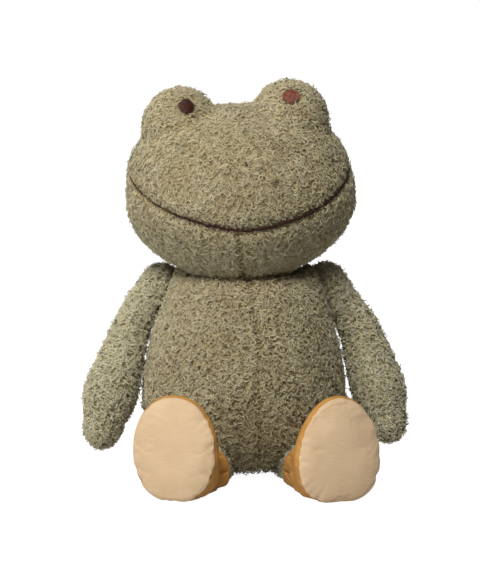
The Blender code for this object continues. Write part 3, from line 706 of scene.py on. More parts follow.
def thread_material(name, dark, pale, roughness, sheen=0.3, specular=0.5, anisotropy=0.0):
    """Twisted thread: darker between its plies, with a soft gloss along them."""
    made, tree, shader = new_material(
        name, pale,
        {"Sheen Weight": sheen, "Sheen Roughness": 0.35, "Specular IOR Level": specular, "Anisotropic": anisotropy},
    )
    place = add(tree, "ShaderNodeTexCoord").outputs["Object"]
    mottle = add(tree, "ShaderNodeGroup", {}, node_tree=MOTTLE)
    mottle.inputs["Patches"].default_value = 500.0
    mottle.inputs["Grain"].default_value = 3500.0
    tree.links.new(place, mottle.inputs["Vector"])
    ramp = add(tree, "ShaderNodeValToRGB", {"Fac": mottle.outputs["Patches"]})
    ramp.color_ramp.elements[0].position = 0.3
    ramp.color_ramp.elements[1].position = 0.7
    ramp.color_ramp.elements[0].color = (*dark, 1)
    ramp.color_ramp.elements[1].color = (*pale, 1)
    tree.links.new(ramp.outputs["Color"], shader.inputs["Base Color"])
    rough = add(
        tree, "ShaderNodeMapRange",
        {"Value": mottle.outputs["Grain"], "To Min": roughness - 0.06, "To Max": roughness + 0.06},
    )
    tree.links.new(rough.outputs["Result"], shader.inputs["Roughness"])
    lift = add(tree, "ShaderNodeBump", {"Height": mottle.outputs["Grain"], "Strength": 0.3, "Distance": 0.05 * MM})
    tree.links.new(lift.outputs["Normal"], shader.inputs["Normal"])
    return made


SEWING_THREAD = thread_material("sewing_thread", (0.17, 0.145, 0.085), (0.30, 0.25, 0.15), 0.6)
at = np.linspace(0, 2 * STITCH_COUNT - 1, 240)
swing = np.interp(at, np.arange(2 * STITCH_COUNT), np.where(np.arange(2 * STITCH_COUNT) % 4 < 2, 1, -1))
rise = STITCH_START + STITCH_RUN * at / at[-1]
seam_out = np.interp(rise, side_seams[2][:, 2], side_seams[2][:, 1])
dip = 0.5 * MM * np.cos(at * math.pi) - 0.9 * MM
path = np.stack([np.sin(swing * math.pi / 2) * STITCH_WIDTH / 2, seam_out + dip, rise], -1)
points, faces = cord("ladder", path, STITCH_THREAD / 2, 8, SEWING_THREAD)
ladder = build("ladder_stitch", points, faces, SEWING_THREAD)
standing(ladder, "torso", "seam_thread", "closing_stitch")

# The neck: a firm ball of wadding under a tube of the same pile, sewn between the trunk and the head.
# Both turn on it, so it rides on its own body.
def neck_ball(u, v):
    """A ball round the neck's centre."""
    angle, down = TURN * u, math.pi * v
    way = np.stack([np.sin(down) * np.sin(angle), -np.sin(down) * np.cos(angle), np.cos(down)], -1)
    return NECK + way * NECK_RADIUS


def neck_band(u, v):
    """The belt of the ball that shows between the trunk and the head."""
    return neck_ball(u, NECK_BAND[0] + v * (NECK_BAND[1] - NECK_BAND[0]))


NECK_BAND = (0.38, 0.58)
# The neck's pile has the darkest tone: painted shade for the crease under the head.
NECK_PAINTED_SHADE_TONE = 0.05
neck_wad = closed_form("neck_wadding", lambda u, v: NECK + (neck_ball(u, v) - NECK) * 0.93, 49, 97, WADDING)
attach(neck_wad, "neck")
neck = pile_panel(
    "neck_pile", neck_band, 30, NECK_PAINTED_SHADE_TONE, lambda p: 0 * p, (), lambda p: np.full(len(p), 1.0),
    closed=True, rows=14, columns=97, density=0.55e6, sink=-2.6 * MM,
)
standing(neck, "neck", "pile", "neck_filling")

# The head: a face, two jaws and two back panels of the same pile over firm stuffing.
# The face and the jaws meet in the mouth's seam, which is drawn in, and the whole head leans and turns a little.
CHEEKS = np.array((4.0, 58.6, 87.4, 69.0, 66.0)) * MM
JAW_TAPER = 0.3
CHEEKS_ASIDE = -0.6 * MM
CROWN_ASIDE = -2.4 * MM
CROWN = np.array((1.0, 84.0, 83.0, 62.6, 46.9)) * MM
EYE_BUMPS = (
    (np.array((7.0, 116.6, 30.2, 30.6, 31.2)) * MM, 38.6 * MM),
    (np.array((7.0, 114.4, 29.6, 30.6, 31.4)) * MM, -44.0 * MM),
)
BLEND = 21.0
MOUTH_CREASE_DEPTH = 2.2 * MM
MOUTH_CREASE_WIDTH = 5.0 * MM
CHIN_SEAM = math.radians(-3.5)
HEAD_TURN = np.array(Euler((0, math.radians(-2.5), math.radians(-3.0))).to_matrix())
# The head's tone is set against the trunk's and the arms' for how the light falls on it: painted light and shade in one
# pile.
HEAD_TONE = 0.38


def head_level(points):
    """Below 1 inside the head: four ellipsoids, blended where they meet by a smooth least value.

    Below its middle the cheeks' ellipsoid is a superellipse from side to side whose power falls, so the jaws taper.
    """
    total = 0
    for (ahead, up, wide, deep, high), aside in ((CHEEKS, CHEEKS_ASIDE), (CROWN, CROWN_ASIDE), *EYE_BUMPS):
        x, y, z = np.moveaxis((points - np.array((aside, -ahead, up))) / (wide, deep, high), -1, 0)
        power = 2 - (JAW_TAPER if up == CHEEKS[1] else 0) * np.clip(-z, 0, 1)
        total = total + np.exp(-BLEND * (np.abs(x) ** power + np.hypot(y, z) ** power) ** (1 / power))
    return -np.log(total) / BLEND


def head_reach(start, way):
    """How far the head's skin lies from a start along each way, by halving."""
    low, high = np.zeros(way.shape[:-1]), np.full(way.shape[:-1], 0.2)
    for _ in range(24):
        middle = (low + high) / 2
        inside = head_level(start + way * middle[..., None]) < 1
        low, high = np.where(inside, middle, low), np.where(inside, high, middle)
    return low


def mouth_angle(azimuth):
    """The mouth seam's angle from straight up: lowest in front and rising with the cosine to the sides.

    On the frog's right a sine of twice the azimuth lifts it a little more.
    """
    front = np.clip(np.mod(azimuth + math.pi, TURN) - math.pi, -math.pi / 2, math.pi / 2)
    return np.radians(116.2 - 37.4 * (1 - np.cos(front)) - 2.2 * np.clip(-np.sin(2 * front), 0, 1))


def head_skin(azimuth, down):
    """The head's skin in its own frame, drawn in by a bell-shaped crease along the mouth."""
    middle = np.array((0, -CHEEKS[0], (CHEEKS[1] + CROWN[1]) / 2))
    way = np.stack([np.sin(down) * np.sin(azimuth), -np.sin(down) * np.cos(azimuth), np.cos(down)], -1)
    reach = head_reach(middle, way)
    off = (down - mouth_angle(azimuth)) * reach / MOUTH_CREASE_WIDTH
    signed = np.abs(np.mod(azimuth + math.pi, TURN) - math.pi)
    fade = np.clip((math.pi / 2 - signed) / (math.pi / 2 - math.radians(62)), 0, 1)
    return middle + way * (reach - MOUTH_CREASE_DEPTH * fade * np.exp(-(off**2)))[..., None]


def placed(points):
    """Points of the head in the frog's frame: leant, turned and set on the neck."""
    return points @ HEAD_TURN.T + NECK


def head_end(azimuth):
    """The angle down at which the head's skin meets the neck's ball, by halving."""
    low, high = np.full(np.shape(azimuth), 2.1), np.full(np.shape(azimuth), math.pi)
    for _ in range(14):
        down = (low + high) / 2
        inside = np.linalg.norm(head_skin(azimuth, down), axis=-1) < NECK_RADIUS + TURNING_GAP
        low, high = np.where(inside, low, down), np.where(inside, down, high)
    return low


END_AZIMUTHS = np.linspace(-0.2, TURN + 0.2, 300)
END_ANGLES = head_end(END_AZIMUTHS)


def head_panel(start, end, top):
    """A panel of the head between two azimuths, from the crown or the mouth down to the mouth or the neck."""
    def surface(u, v):
        azimuth = start + (end - start) * u
        low = np.interp(np.mod(azimuth, TURN), END_AZIMUTHS, END_ANGLES)
        mouth = mouth_angle(azimuth)
        first, last = {"face": (0, mouth), "jaw": (mouth, low), "back": (0, low)}[top]
        return placed(head_skin(azimuth, first + v * (last - first)))
    return surface


def head_stuffing(u, v):
    """The head's skin moved inward and pressed in below by the neck's ball."""
    skin = lambda a, b: head_skin(TURN * a, math.pi * b)
    points, normal, _ = facing(skin, u, v)
    points = points - normal * STUFFING_DEPTH
    points[..., 2] = np.maximum(points[..., 2], 2 * STUFFING_DEPTH)
    return placed(hollowed(points, np.zeros(3), NECK_RADIUS + STUFFING_DEPTH / 2))


head_wadding = closed_form("head_stuffing", head_stuffing, 97, 121, WADDING)
standing(head_wadding, "head", "stuffing", "head_filling")

EYE_PLACES = {}
for side, aside, height in ((1, 39.6, 135.6), (-1, 38.5, 131.6)):
    eye_start = np.array((side * aside, 0, height)) * MM
    place = eye_start + (0, -float(head_reach(eye_start, np.array((0.0, -1.0, 0.0)))), 0)
    slope = [head_level(place + step) - head_level(place - step) for step in 0.3 * MM * np.eye(3)]
    EYE_PLACES[side] = placed(place), unit(np.array(slope)) @ HEAD_TURN.T

MOUTH_HALF = math.radians(82)
mouth_azimuth = np.linspace(-MOUTH_HALF, MOUTH_HALF, 260)
mouth_line = placed(head_skin(mouth_azimuth, mouth_angle(mouth_azimuth)))


def head_lengths(points):
    """Full length over the head, clipped round the eyes and short at the mouth's thread and where the neck presses."""
    size = np.clip(0.7 + (np.linalg.norm(points - NECK, axis=1) - NECK_RADIUS) / (16 * MM), 0, 1)
    near, _ = from_line(points, mouth_line[::6])
    size = np.where(near < 1.0 * MM, 0, np.minimum(size, np.clip(0.62 + near / (9 * MM), 0, 1)))
    for place, _ in EYE_PLACES.values():
        near = np.linalg.norm(points - place, axis=1) - 5.4 * MM
        size = np.where(near < 0.2 * MM, 0, np.minimum(size, np.clip(0.6 + near / (8 * MM), 0, 1)))
    return size


def head_combed(points):
    """The nap runs down the head and a little away from each eye."""
    lean = np.array((0, 0, -0.3)) * np.ones((len(points), 1))
    for place, _ in EYE_PLACES.values():
        away = points - place
        near = np.linalg.norm(away, axis=1, keepdims=True)
        lean = lean + unit(away) * 1.6 * np.exp(-((near / (8 * MM)) ** 2))
    return lean


quarter = math.pi / 2
crown_seams = [edge_line(head_panel(a, a + 0.1, "back"), u=0.0) for a in (quarter, math.pi, -quarter)]
chin_seam = edge_line(head_panel(CHIN_SEAM, quarter, "jaw"), u=0.0)
for name, start, end, top, node, seams in (
    ("face", -quarter, quarter, "face", "face_panel", [crown_seams[0], crown_seams[2]]),
    ("jaw_left", CHIN_SEAM, quarter, "jaw", "jaw_left_panel", [chin_seam, crown_seams[0]]),
    ("jaw_right", -quarter, CHIN_SEAM, "jaw", "jaw_right_panel", [chin_seam, crown_seams[2]]),
    ("head_back_left", quarter, math.pi, "back", "head_back_left_panel", [crown_seams[0], crown_seams[1]]),
    ("head_back_right", math.pi, 3 * quarter, "back", "head_back_right_panel", [crown_seams[1], crown_seams[2]]),
):
    back = top == "back"
    # The head's curls get pale roots: painted light that lifts the shade between them.
    panel = pile_panel(
        name + "_pile", head_panel(start, end, top), 40 + len(name), HEAD_TONE, head_combed, seams,
        head_lengths, density=0.36e6 if back else PILE_DENSITY, parting=1.0 if top == "jaw" else 0.6,
        columns=80 if name == "face" else 50, most=11500, pale_roots=0.6, laid=0.4, sink=-1.2 * MM,
    )
    standing(panel, "head", "pile", node)

# The mouth: a line of slanting satin stitches in the seam under the face, tapering to both cheeks.
# The eyes: two round satin-stitched pads, each a fan of threads laid side by side.
MOUTH_THREAD = 2.4 * MM
MOUTH_STITCHES = 96
EYE_HALF_WIDTH = 6.6 * MM
EYE_HALF_HEIGHT = 6.4 * MM
EYE_THREADS = 15
EYE_DOME = 0.9 * MM

MOUTH_DARK = thread_material(
    "mouth_thread", (0.014, 0.005, 0.004), (0.050, 0.016, 0.012), 0.7, sheen=0.0, specular=0.15
)
out = unit(mouth_line - placed(np.array((0, -CHEEKS[0], CHEEKS[1]))))
arch = np.cos(mouth_azimuth / MOUTH_HALF * math.pi / 2).clip(0, 1)
line_share = (0.15 + 0.85 * np.sqrt(arch)) * np.interp(mouth_azimuth, (-1.0, -0.3, 0.3, 0.8), (0.55, 0.8, 1.0, 1.3))
at = np.linspace(0, len(mouth_line) - 1, MOUTH_STITCHES + 2)[1:-1]
index = np.arange(len(mouth_line))
along_mouth = unit(np.gradient(mouth_line, axis=0))
upward = np.cross(along_mouth, out)
STITCH_RINGS = 7
bow = np.linspace(-1, 1, STITCH_RINGS)


def sampled(values):
    return np.stack([np.interp(at, index, values[:, k]) for k in range(3)], -1)


def stitches(centre, along, across, lift, half_length, half_width, half_depth, arched):
    """Padded stitches: each a spindle whose section swells with a rounded profile and whose middle arches up."""
    angle = np.linspace(0, TURN, 7)
    swell = np.sqrt(np.clip(1 - bow**2 * 0.96, 0, 1))
    path = centre[:, None] + along[:, None] * (bow * half_length[:, None])[..., None]
    path = path + lift[:, None] * (arched[:, None] * (1 - bow**2))[..., None]
    wide = across[:, None, None] * (np.cos(angle) * half_width[:, None, None] * swell[:, None])[..., None]
    deep = lift[:, None, None] * (np.sin(angle) * half_depth[:, None, None] * swell[:, None])[..., None]
    ring = path[:, :, None] + wide + deep
    ends = [np.repeat(path[:, k, None, None], len(angle), 2) for k in (0, -1)]
    rings = np.concatenate([ends[0], ring, ends[1]], axis=1)
    rows, columns = rings.shape[1:3]
    quads = cells(rows, columns)
    sign = np.sign(np.dot(np.cross(along[0], across[0]), lift[0]))
    quads = quads if sign < 0 else quads[:, ::-1]
    quads = (quads + (np.arange(len(rings)) * rows * columns)[:, None, None]).reshape(-1, 4)
    points, _, parts = welded(rings.reshape(-1, 3), quads)
    return points, [new for new, _ in parts]


width = np.interp(at, index, line_share) * MOUTH_THREAD / 2
slant = 0.42
along, across, lift = sampled(along_mouth), sampled(upward), sampled(out)
ways = unit(along + slant * across)
sides = unit(np.cross(lift, ways))
rng = np.random.default_rng(70)
width = width * rng.uniform(0.8, 1.2, len(at))
wander = across * rng.normal(0, 0.22 * MM, (len(at), 1))
points, faces = stitches(
    sampled(mouth_line) + wander + lift * (0.8 * width)[:, None], ways, sides, lift,
    rng.uniform(1.9, 2.8, len(at)) * MM, width * 0.8, width * 0.85, np.zeros(len(at)),
)
mouth = build("mouth_stitches", points, faces, MOUTH_DARK)
standing(mouth, "head", "mouth_thread", "mouth_line")

# The frog's left eye has a much paler red thread than its right: a painted highlight of the key light in its stitches.
EYE_REDS_PAINTED_HIGHLIGHT = {1: ((0.10, 0.032, 0.022), (0.27, 0.092, 0.062)), -1: ((0.034, 0.008, 0.005), (0.062, 0.016, 0.011))}
for name, side in (("left", 1), ("right", -1)):
    place, normal = EYE_PLACES[side]
    level = unit(np.cross((0, 0, 1), normal))
    upright = np.cross(normal, level)
    half_long, half_wide = EYE_HALF_WIDTH, EYE_HALF_HEIGHT
    if side > 0:
        level, upright, half_long, half_wide = upright, -level, half_wide * 1.12, half_long
    rows_at = np.linspace(-1, 1, EYE_THREADS + 2)[1:-1]
    reach = (1 - np.abs(rows_at) ** 1.7) ** (1 / 1.7) * half_long + rng.uniform(-0.4, 0.5, EYE_THREADS) * MM
    centre = place + upright * (rows_at * half_wide)[:, None] - normal * 0.5 * MM
    centre = centre + level * rng.uniform(-0.3, 0.3, (EYE_THREADS, 1)) * MM
    share = np.sqrt(1 - rows_at**2)
    count = len(rows_at)
    points, faces = stitches(
        centre, np.tile(level, (count, 1)), np.tile(upright, (count, 1)), np.tile(normal, (count, 1)),
        reach + 0.2 * MM, np.full(count, 0.52 * MM), np.full(count, 0.45 * MM), EYE_DOME * share,
    )
    red = thread_material("eye_thread_" + name, *EYE_REDS_PAINTED_HIGHLIGHT[side], 0.4, sheen=0.0, specular=0.25)
    eye = build("eye_pad_" + name, points, faces, red)
    standing(eye, "head", "eye_thread", "eye_" + name)

# The arms: a front and a back panel of pile each, sewn into a tapering tube with a round hand and stuffed softly.
# The ball at the shoulder sits in a hollow of the trunk, and the inside is pressed flat where it rests on the trunk.
ARM_SPREAD = 45.2 * MM
ARM_DROPS = {1: 101.6 * MM, -1: 103.5 * MM}
ARM_AHEAD = 22.0 * MM
ARM_ROUTES = {
    1: ((0.0, 0.0), (0.28, 0.165), (0.555, 0.335), (0.73, 0.58), (0.885, 0.80), (1.0, 1.0)),
    -1: ((0.0, 0.0), (0.31, 0.165), (0.52, 0.335), (0.71, 0.58), (0.89, 0.80), (1.0, 1.0)),
}
ARM_SWELL = ((0.0,), (-0.35,), (-0.3,), (0.6,), (1.0,), (-0.3,))
HAND_RADIUS = 21.8 * MM
HAND_TIP = 21.5 * MM
ARM_DEPTH = 0.9
ARM_CAP = 0.16
# The arms' pile takes a much paler tone than the trunk's: painted light from the side lamp, in the same pile.
ARM_PAINTED_LIGHT_TONE = 0.84
profile = spline(TRUNK_PROFILE, np.linspace(0, TRUNK_LEVELS, 900))


def beside_trunk(points, gap, centre=None):
    """Points inside the trunk moved level and straight out from its middle line, but for those in the hollow."""
    x, y, z = np.moveaxis(points, -1, 0)
    x = x - trunk_lean(z)
    out = np.interp((z + FLAT_DEPTH) / (TRUNK_HEIGHT + FLAT_DEPTH), profile[:, 0], profile[:, 1])
    depth = np.where(y < 0, TRUNK_FRONT, TRUNK_BACK)
    share = (np.abs(y / depth) ** TRUNK_CORNER + np.abs(x / TRUNK_HALF_WIDTH) ** TRUNK_CORNER) ** (1 / TRUNK_CORNER)
    push = np.maximum(1, (out + gap / TRUNK_FRONT) / np.maximum(share, 1e-3)) - 1
    if centre is not None:
        far = np.linalg.norm(points - centre, axis=-1) - SHOULDER_RADIUS
        push = push * np.clip(far / (2.5 * MM), 0, 1)
    return points + np.stack([x * push, y * push, 0 * z], -1), push


def arm_skin(side):
    """Rings square to a curved route, with a round cap at the shoulder and a longer one at the hand."""
    reach = np.array((ARM_SPREAD, ARM_DROPS[side]))
    last = len(ARM_ROUTES[side]) - 1

    def route(at):
        out, down = np.moveaxis(spline(ARM_ROUTES[side], at) * reach, -1, 0)
        return np.stack([out, -ARM_AHEAD * down / ARM_DROPS[side], -down], -1)

    def surface(u, v):
        at = np.clip((v - ARM_CAP) / (1 - 2 * ARM_CAP), 0, 1) * last
        near, far = np.clip(at - 0.02, 0, last), np.clip(at + 0.02, 0, last)
        way = unit(route(far) - route(near))
        swell = spline(ARM_SWELL, at)[..., 0]
        start, end = (np.clip(share / ARM_CAP, 0, 1) * math.pi / 2 for share in (v, 1 - v))
        slide = HAND_TIP * np.cos(end) - SHOULDER_RADIUS * np.cos(start)
        centre = route(at) + way * slide[..., None]
        radius = (SHOULDER_RADIUS + (HAND_RADIUS - SHOULDER_RADIUS) * swell) * np.sin(start) * np.sin(end)
        outward = unit(np.stack([-way[..., 2], 0 * v, way[..., 0]], -1))
        ahead = np.cross(way, outward)
        flat = 1 - (1 - ARM_DEPTH) * np.clip(-centre[..., 2] / SHOULDER_RADIUS, 0, 1)
        angle = TURN * u
        spoke = outward * np.cos(angle)[..., None] + ahead * (np.sin(angle) * flat)[..., None]
        points = centre + spoke * radius[..., None]
        points = points * (side, 1, 1) + SHOULDERS[side]
        return beside_trunk(points, -0.8 * MM, SHOULDERS[side])[0]
    return surface


def arm_combed(points):
    return np.array((0, -0.1, -0.6)) * np.ones((len(points), 1))


for name, side in (("left", 1), ("right", -1)):
    skin = arm_skin(side)
    body = "arm_" + name

    def arm_lengths(points, side=side):
        """Full length, but short in the trunk's hollow and where the arm is pressed on the trunk."""
        _, push = beside_trunk(points, 1.1 * MM)
        inside = np.linalg.norm(points - SHOULDERS[side], axis=1) < SHOULDER_RADIUS + 0.5 * MM
        top = 1 + 0.1 * np.clip((points[:, 2] - SHOULDERS[side][2]) / SHOULDER_RADIUS * 2 - 1, 0, 1)
        return np.where(inside & (push > 0.03), 0.3, np.where(push > 0.002, 0.5, top))

    def arm_stuffing(u, v, skin=skin):
        points, normal, _ = facing(skin, u, v)
        return beside_trunk(points - normal * STUFFING_DEPTH, STUFFING_DEPTH / 2, SHOULDERS[side])[0]

    wad = closed_form(f"arm_{name}_stuffing", arm_stuffing, 81, 49, WADDING)
    standing(wad, body, "stuffing", f"arm_{name}_filling")
    seams = [edge_line(skin, u=at) for at in (0.0, 0.5)]
    for half, first in (("front", 0.0), ("back", 0.5)):
        panel = pile_panel(
            f"arm_{name}_{half}_pile", lambda u, v: skin(first + u / 2, v), 60 + int(first * 2) + side, ARM_PAINTED_LIGHT_TONE,
            arm_combed, seams, arm_lengths, density=PILE_DENSITY if half == "front" else 0.36e6,
            rows=60, columns=26, parting=0.5,
        )
        standing(panel, body, "pile", f"arm_{name}_{half}_panel")

# The legs: a short sleeve of pile at the trunk, an ochre gusset round the foot and a peach sole.
# The gusset is eased on to the sole's edge, so both cloths pucker along that seam, and small tucks take up the ankle.
HIP_PLACES = {1: 41.0 * MM, -1: -38.8 * MM}
HIP_BACK = -50.0 * MM
HIP_HEIGHT = 15.0 * MM
LEG_SPLAYS = {1: math.radians(14), -1: math.radians(18)}
LEG_LENGTHS = {1: 76.0 * MM, -1: 66.5 * MM}
LEG_INSETS = {1: 3.0 * MM, -1: 9.5 * MM}
LEG_ROOT = -18.0 * MM
ROOT_RADII = (16.0 * MM, 15.0 * MM)
ANKLE_REACH = 15.0 * MM
ANKLE_RADII = (18.5 * MM, 15.6 * MM)
SOLE_RADII = (30.7 * MM, 38.3 * MM)
SOLE_CROWN = 5.5 * MM
SOLE_EGGS = {1: 0.13, -1: 0.01}
SOLE_CORNERS = {1: (2.05, 2.5), -1: (2.1, 2.28)}
ANKLE_CORNERS = (2.0, 4.5)
UPPER_SWELL = (
    (0.0, 0.0, 0.0), (0.22, 0.11, 0.08), (0.5, 0.40, 0.34), (0.74, 0.80, 0.80), (0.88, 0.98, 0.995), (0.95, 1.0, 1.015),
    (1.0, 1.0, 1.0),
)
SOLE_DOME = ((1.0, 0.0), (0.88, 0.45), (0.5, 0.85), (0.0, 1.0))
WOVEN_DEPTH = 2.0 * MM
FOOT_SEAM = 0.55
SEAM_BLEND = 5
SOLE_ROWS = 41
UPPER_ROWS = 41
FOOT_COLUMNS = 181
CLOTH_FRAMES = 20
CLOTH_CAP = 1.0 * MM
TUCKS = {
    1: ((3.35, 0.0, 0.22, 2.2), (3.3, 0.3, 0.45, 1.6), (2.6, 0.0, 0.3, 1.2), (4.1, 0.0, 0.35, 1.4), (0.3, 0.0, 0.3, 1.4)),
    -1: ((3.3, 0.0, 0.3, 2.0), (2.5, 0.0, 0.25, 1.2), (4.0, 0.0, 0.3, 1.4), (5.9, 0.0, 0.3, 1.4)),
}
swell_line = spline(UPPER_SWELL, np.linspace(0, len(UPPER_SWELL) - 1, 200))


def leg_place(side, angle, reach, wide, high, lift):
    """A ring round the leg: a rounded egg whose low side is wider, turned out by the splay and set on the hip."""
    out = np.clip((reach - ANKLE_REACH) / (LEG_LENGTHS[side] - ANKLE_REACH), 0, 1)
    egg = SOLE_EGGS[side] * out
    cos, sin = np.cos(angle), np.sin(angle)
    corner = np.where(sin > 0, *ANKLE_CORNERS) * (1 - out**2) + np.where(sin > 0, *SOLE_CORNERS[side]) * out**2
    full = (np.abs(cos) ** corner + np.abs(sin) ** corner) ** (-1 / corner)
    x = side * wide * cos * full * (1 - egg * sin)
    y, z = -reach + 0 * x, lift + high * sin * full
    cos, sin = math.cos(LEG_SPLAYS[side]), side * math.sin(LEG_SPLAYS[side])
    return np.stack([
        HIP_PLACES[side] - side * LEG_INSETS[side] * (1 - out) ** 2 + x * cos - y * sin, HIP_BACK + x * sin + y * cos,
        np.maximum(HIP_HEIGHT + z, 0)
    ], -1)


def leg_section(side, reach):
    """Half width, half height and lift of the leg's ring at a reach."""
    along = (reach - ANKLE_REACH) / (LEG_LENGTHS[side] - ANKLE_REACH)
    shares = [np.interp(along, swell_line[:, 0], swell_line[:, k]) for k in (1, 2)]
    root = np.clip(reach / ANKLE_REACH, 0, 1)
    size = [
        first + (ankle - first) * root + (sole - ankle) * share
        for first, ankle, sole, share in zip(ROOT_RADII, ANKLE_RADII, SOLE_RADII, shares)
    ]
    return *size, (SOLE_RADII[1] - 0.8 * MM - HIP_HEIGHT) * shares[1]


def leg_start(side, angle):
    """The reach at which each line along the leg comes out of the trunk, by halving."""
    low, high = np.full(np.shape(angle), LEG_ROOT), np.full(np.shape(angle), ANKLE_REACH - 1 * MM)
    for _ in range(18):
        reach = (low + high) / 2
        _, push = beside_trunk(leg_place(side, angle, reach, *leg_section(side, reach)), 0.3 * MM)
        low, high = np.where(push > 0, reach, low), np.where(push > 0, high, reach)
    return high


def sleeve_skin(side):
    """From the trunk's skin out to the ankle."""
    def surface(u, v):
        angle = TURN * u
        first = leg_start(side, angle)
        reach = first + v * (ANKLE_REACH - first)
        return leg_place(side, angle, reach, *leg_section(side, reach))
    return surface


def foot_skin(side):
    """From the ankle over the gusset to the seam, and over the sole's dome to its middle."""
    def surface(u, v):
        angle = TURN * u
        reach = ANKLE_REACH + np.clip(v / FOOT_SEAM, 0, 1) * (LEG_LENGTHS[side] - ANKLE_REACH)
        wide, high, lift = leg_section(side, reach)
        share, rise = np.moveaxis(spline(SOLE_DOME, np.clip((v - FOOT_SEAM) / (1 - FOOT_SEAM), 0, 1) * 3), -1, 0)
        share = np.clip(share, 0, 1)
        points = leg_place(side, angle, reach + SOLE_CROWN * rise, wide * share, high * share, lift)
        return beside_trunk(points, 0.5 * MM)[0]
    return surface


def leg_stuffing(side):
    """From a cap against the trunk to the middle of the sole, inside the cloth."""
    sleeve, foot = sleeve_skin(side), foot_skin(side)

    def surface(u, v):
        near, far = np.clip((v - 0.15) / 0.2, 0, 1), np.clip((v - 0.35) / 0.65, 0, 1)
        cap = np.clip(v / 0.15, 0, 1)[..., None]
        low = (v < 0.35)[..., None]
        whole = np.where(low, sleeve(u, near), foot(u, far))
        normal = np.where(low, facing(sleeve, u, np.minimum(near, 0.99))[1], facing(foot, u, far)[1])
        depth = np.where(v < 0.35, STUFFING_DEPTH, np.interp(far, (0, 0.15), (STUFFING_DEPTH, WOVEN_DEPTH + 0.6 * MM)))
        points = whole - normal * depth[..., None]
        middle = leg_place(side, np.array(0.0), np.array(ANKLE_REACH - 6 * MM), 0, 0, 0)
        points = middle + (points - middle) * np.where(v[..., None] < 0.15, cap, 1)
        points[..., 2] = np.maximum(points[..., 2], WOVEN_DEPTH + 0.6 * MM)
        return beside_trunk(points, 0.5 * MM)[0]
    return surface


def blown(name, points, quads, held, loose):
    """How far a sheet of cloth moves under pressure, its fabric a little too big and some points held."""
    mesh = bpy.data.meshes.new(name)
    mesh.from_pydata(points.tolist(), [], quads)
    item = bpy.data.objects.new(name, mesh)
    bpy.context.scene.collection.objects.link(item)
    group = item.vertex_groups.new(name="held")
    group.add(np.flatnonzero(held).tolist(), 1.0, "REPLACE")
    cloth = item.modifiers.new("Cloth", "CLOTH")
    setup = cloth.settings
    setup.quality = 6
    setup.mass = 0.0004
    setup.tension_stiffness = setup.compression_stiffness = 12
    setup.shear_stiffness = 4
    setup.bending_stiffness = 0.02
    setup.air_damping = 2
    setup.use_pressure = True
    setup.uniform_pressure_force = 1.5
    setup.shrink_min = -loose
    setup.vertex_group_mass = "held"
    setup.effector_weights.gravity = 0
    cloth.collision_settings.use_collision = False
    cloth.point_cache.frame_end = CLOTH_FRAMES
    scene = bpy.context.scene
    for number in range(1, CLOTH_FRAMES + 1):
        scene.frame_set(number)
    shaped = item.evaluated_get(bpy.context.evaluated_depsgraph_get()).to_mesh()
    moved = np.empty(len(points) * 3)
    shaped.vertices.foreach_get("co", moved)
    scene.frame_set(1)
    bpy.data.objects.remove(item, do_unlink=True)
    shift = moved.reshape(-1, 3) - points
    far = np.linalg.norm(shift, axis=1, keepdims=True)
    return shift * CLOTH_CAP / np.maximum(far, CLOTH_CAP)


def grid_normals(points):
    """Unit normals of a grid that joins itself across, from the slopes between its neighbours."""
    ring = points[:, :-1]
    across = np.roll(ring, -1, axis=1) - np.roll(ring, 1, axis=1)
    across = np.concatenate([across, across[:, :1]], axis=1)
    normal = unit(np.cross(across, np.gradient(points, axis=0)))
    sign = np.sign(((points - points.reshape(-1, 3).mean(axis=0)) * normal).sum())
    return normal * sign, sign


def cloth_shell(name, points, depth, material, turned_in):
    """A closed shell of woven cloth from a grid, its edges turned in where they are sewn."""
    normal, sign = grid_normals(points)
    if np.ptp(points[-1], axis=0).max() < WELD:
        normal[-1] = unit(normal[-2].mean(axis=0))
    rows, columns = points.shape[:2]
    inner = points - normal * depth
    count = rows * columns
    index = np.arange(count).reshape(rows, columns)
    quads = [cells(rows, columns), cells(rows, columns)[:, ::-1] + count]
    for line in (index[0], index[-1, ::-1]):
        quads.append(np.stack([line[1:], line[:-1], line[:-1] + count, line[1:] + count], -1))
    quads = np.concatenate(quads)
    quads = quads if sign > 0 else quads[:, ::-1]
    both = np.concatenate([points.reshape(-1, 3), inner.reshape(-1, 3)])
    both[:, 2] = np.maximum(both[:, 2], 0)
    length = np.concatenate([[0], np.cumsum(np.linalg.norm(np.diff(points.mean(1), axis=0), axis=1))])
    girth = np.linalg.norm(np.diff(points, axis=1), axis=-1).sum(1).max()
    flat = np.stack(np.meshgrid(np.linspace(0, girth, columns), length), -1) if turned_in else points[..., [0, 2]]
    chart = np.concatenate([flat.reshape(-1, 2)] * 2)
    merged, _, parts = welded(both, quads)
    uv = np.concatenate([chart[old].reshape(-1, 2) for _, old in parts])
    return build(name, merged, [new for new, _ in parts], material, {"Weave": (0, uv)})


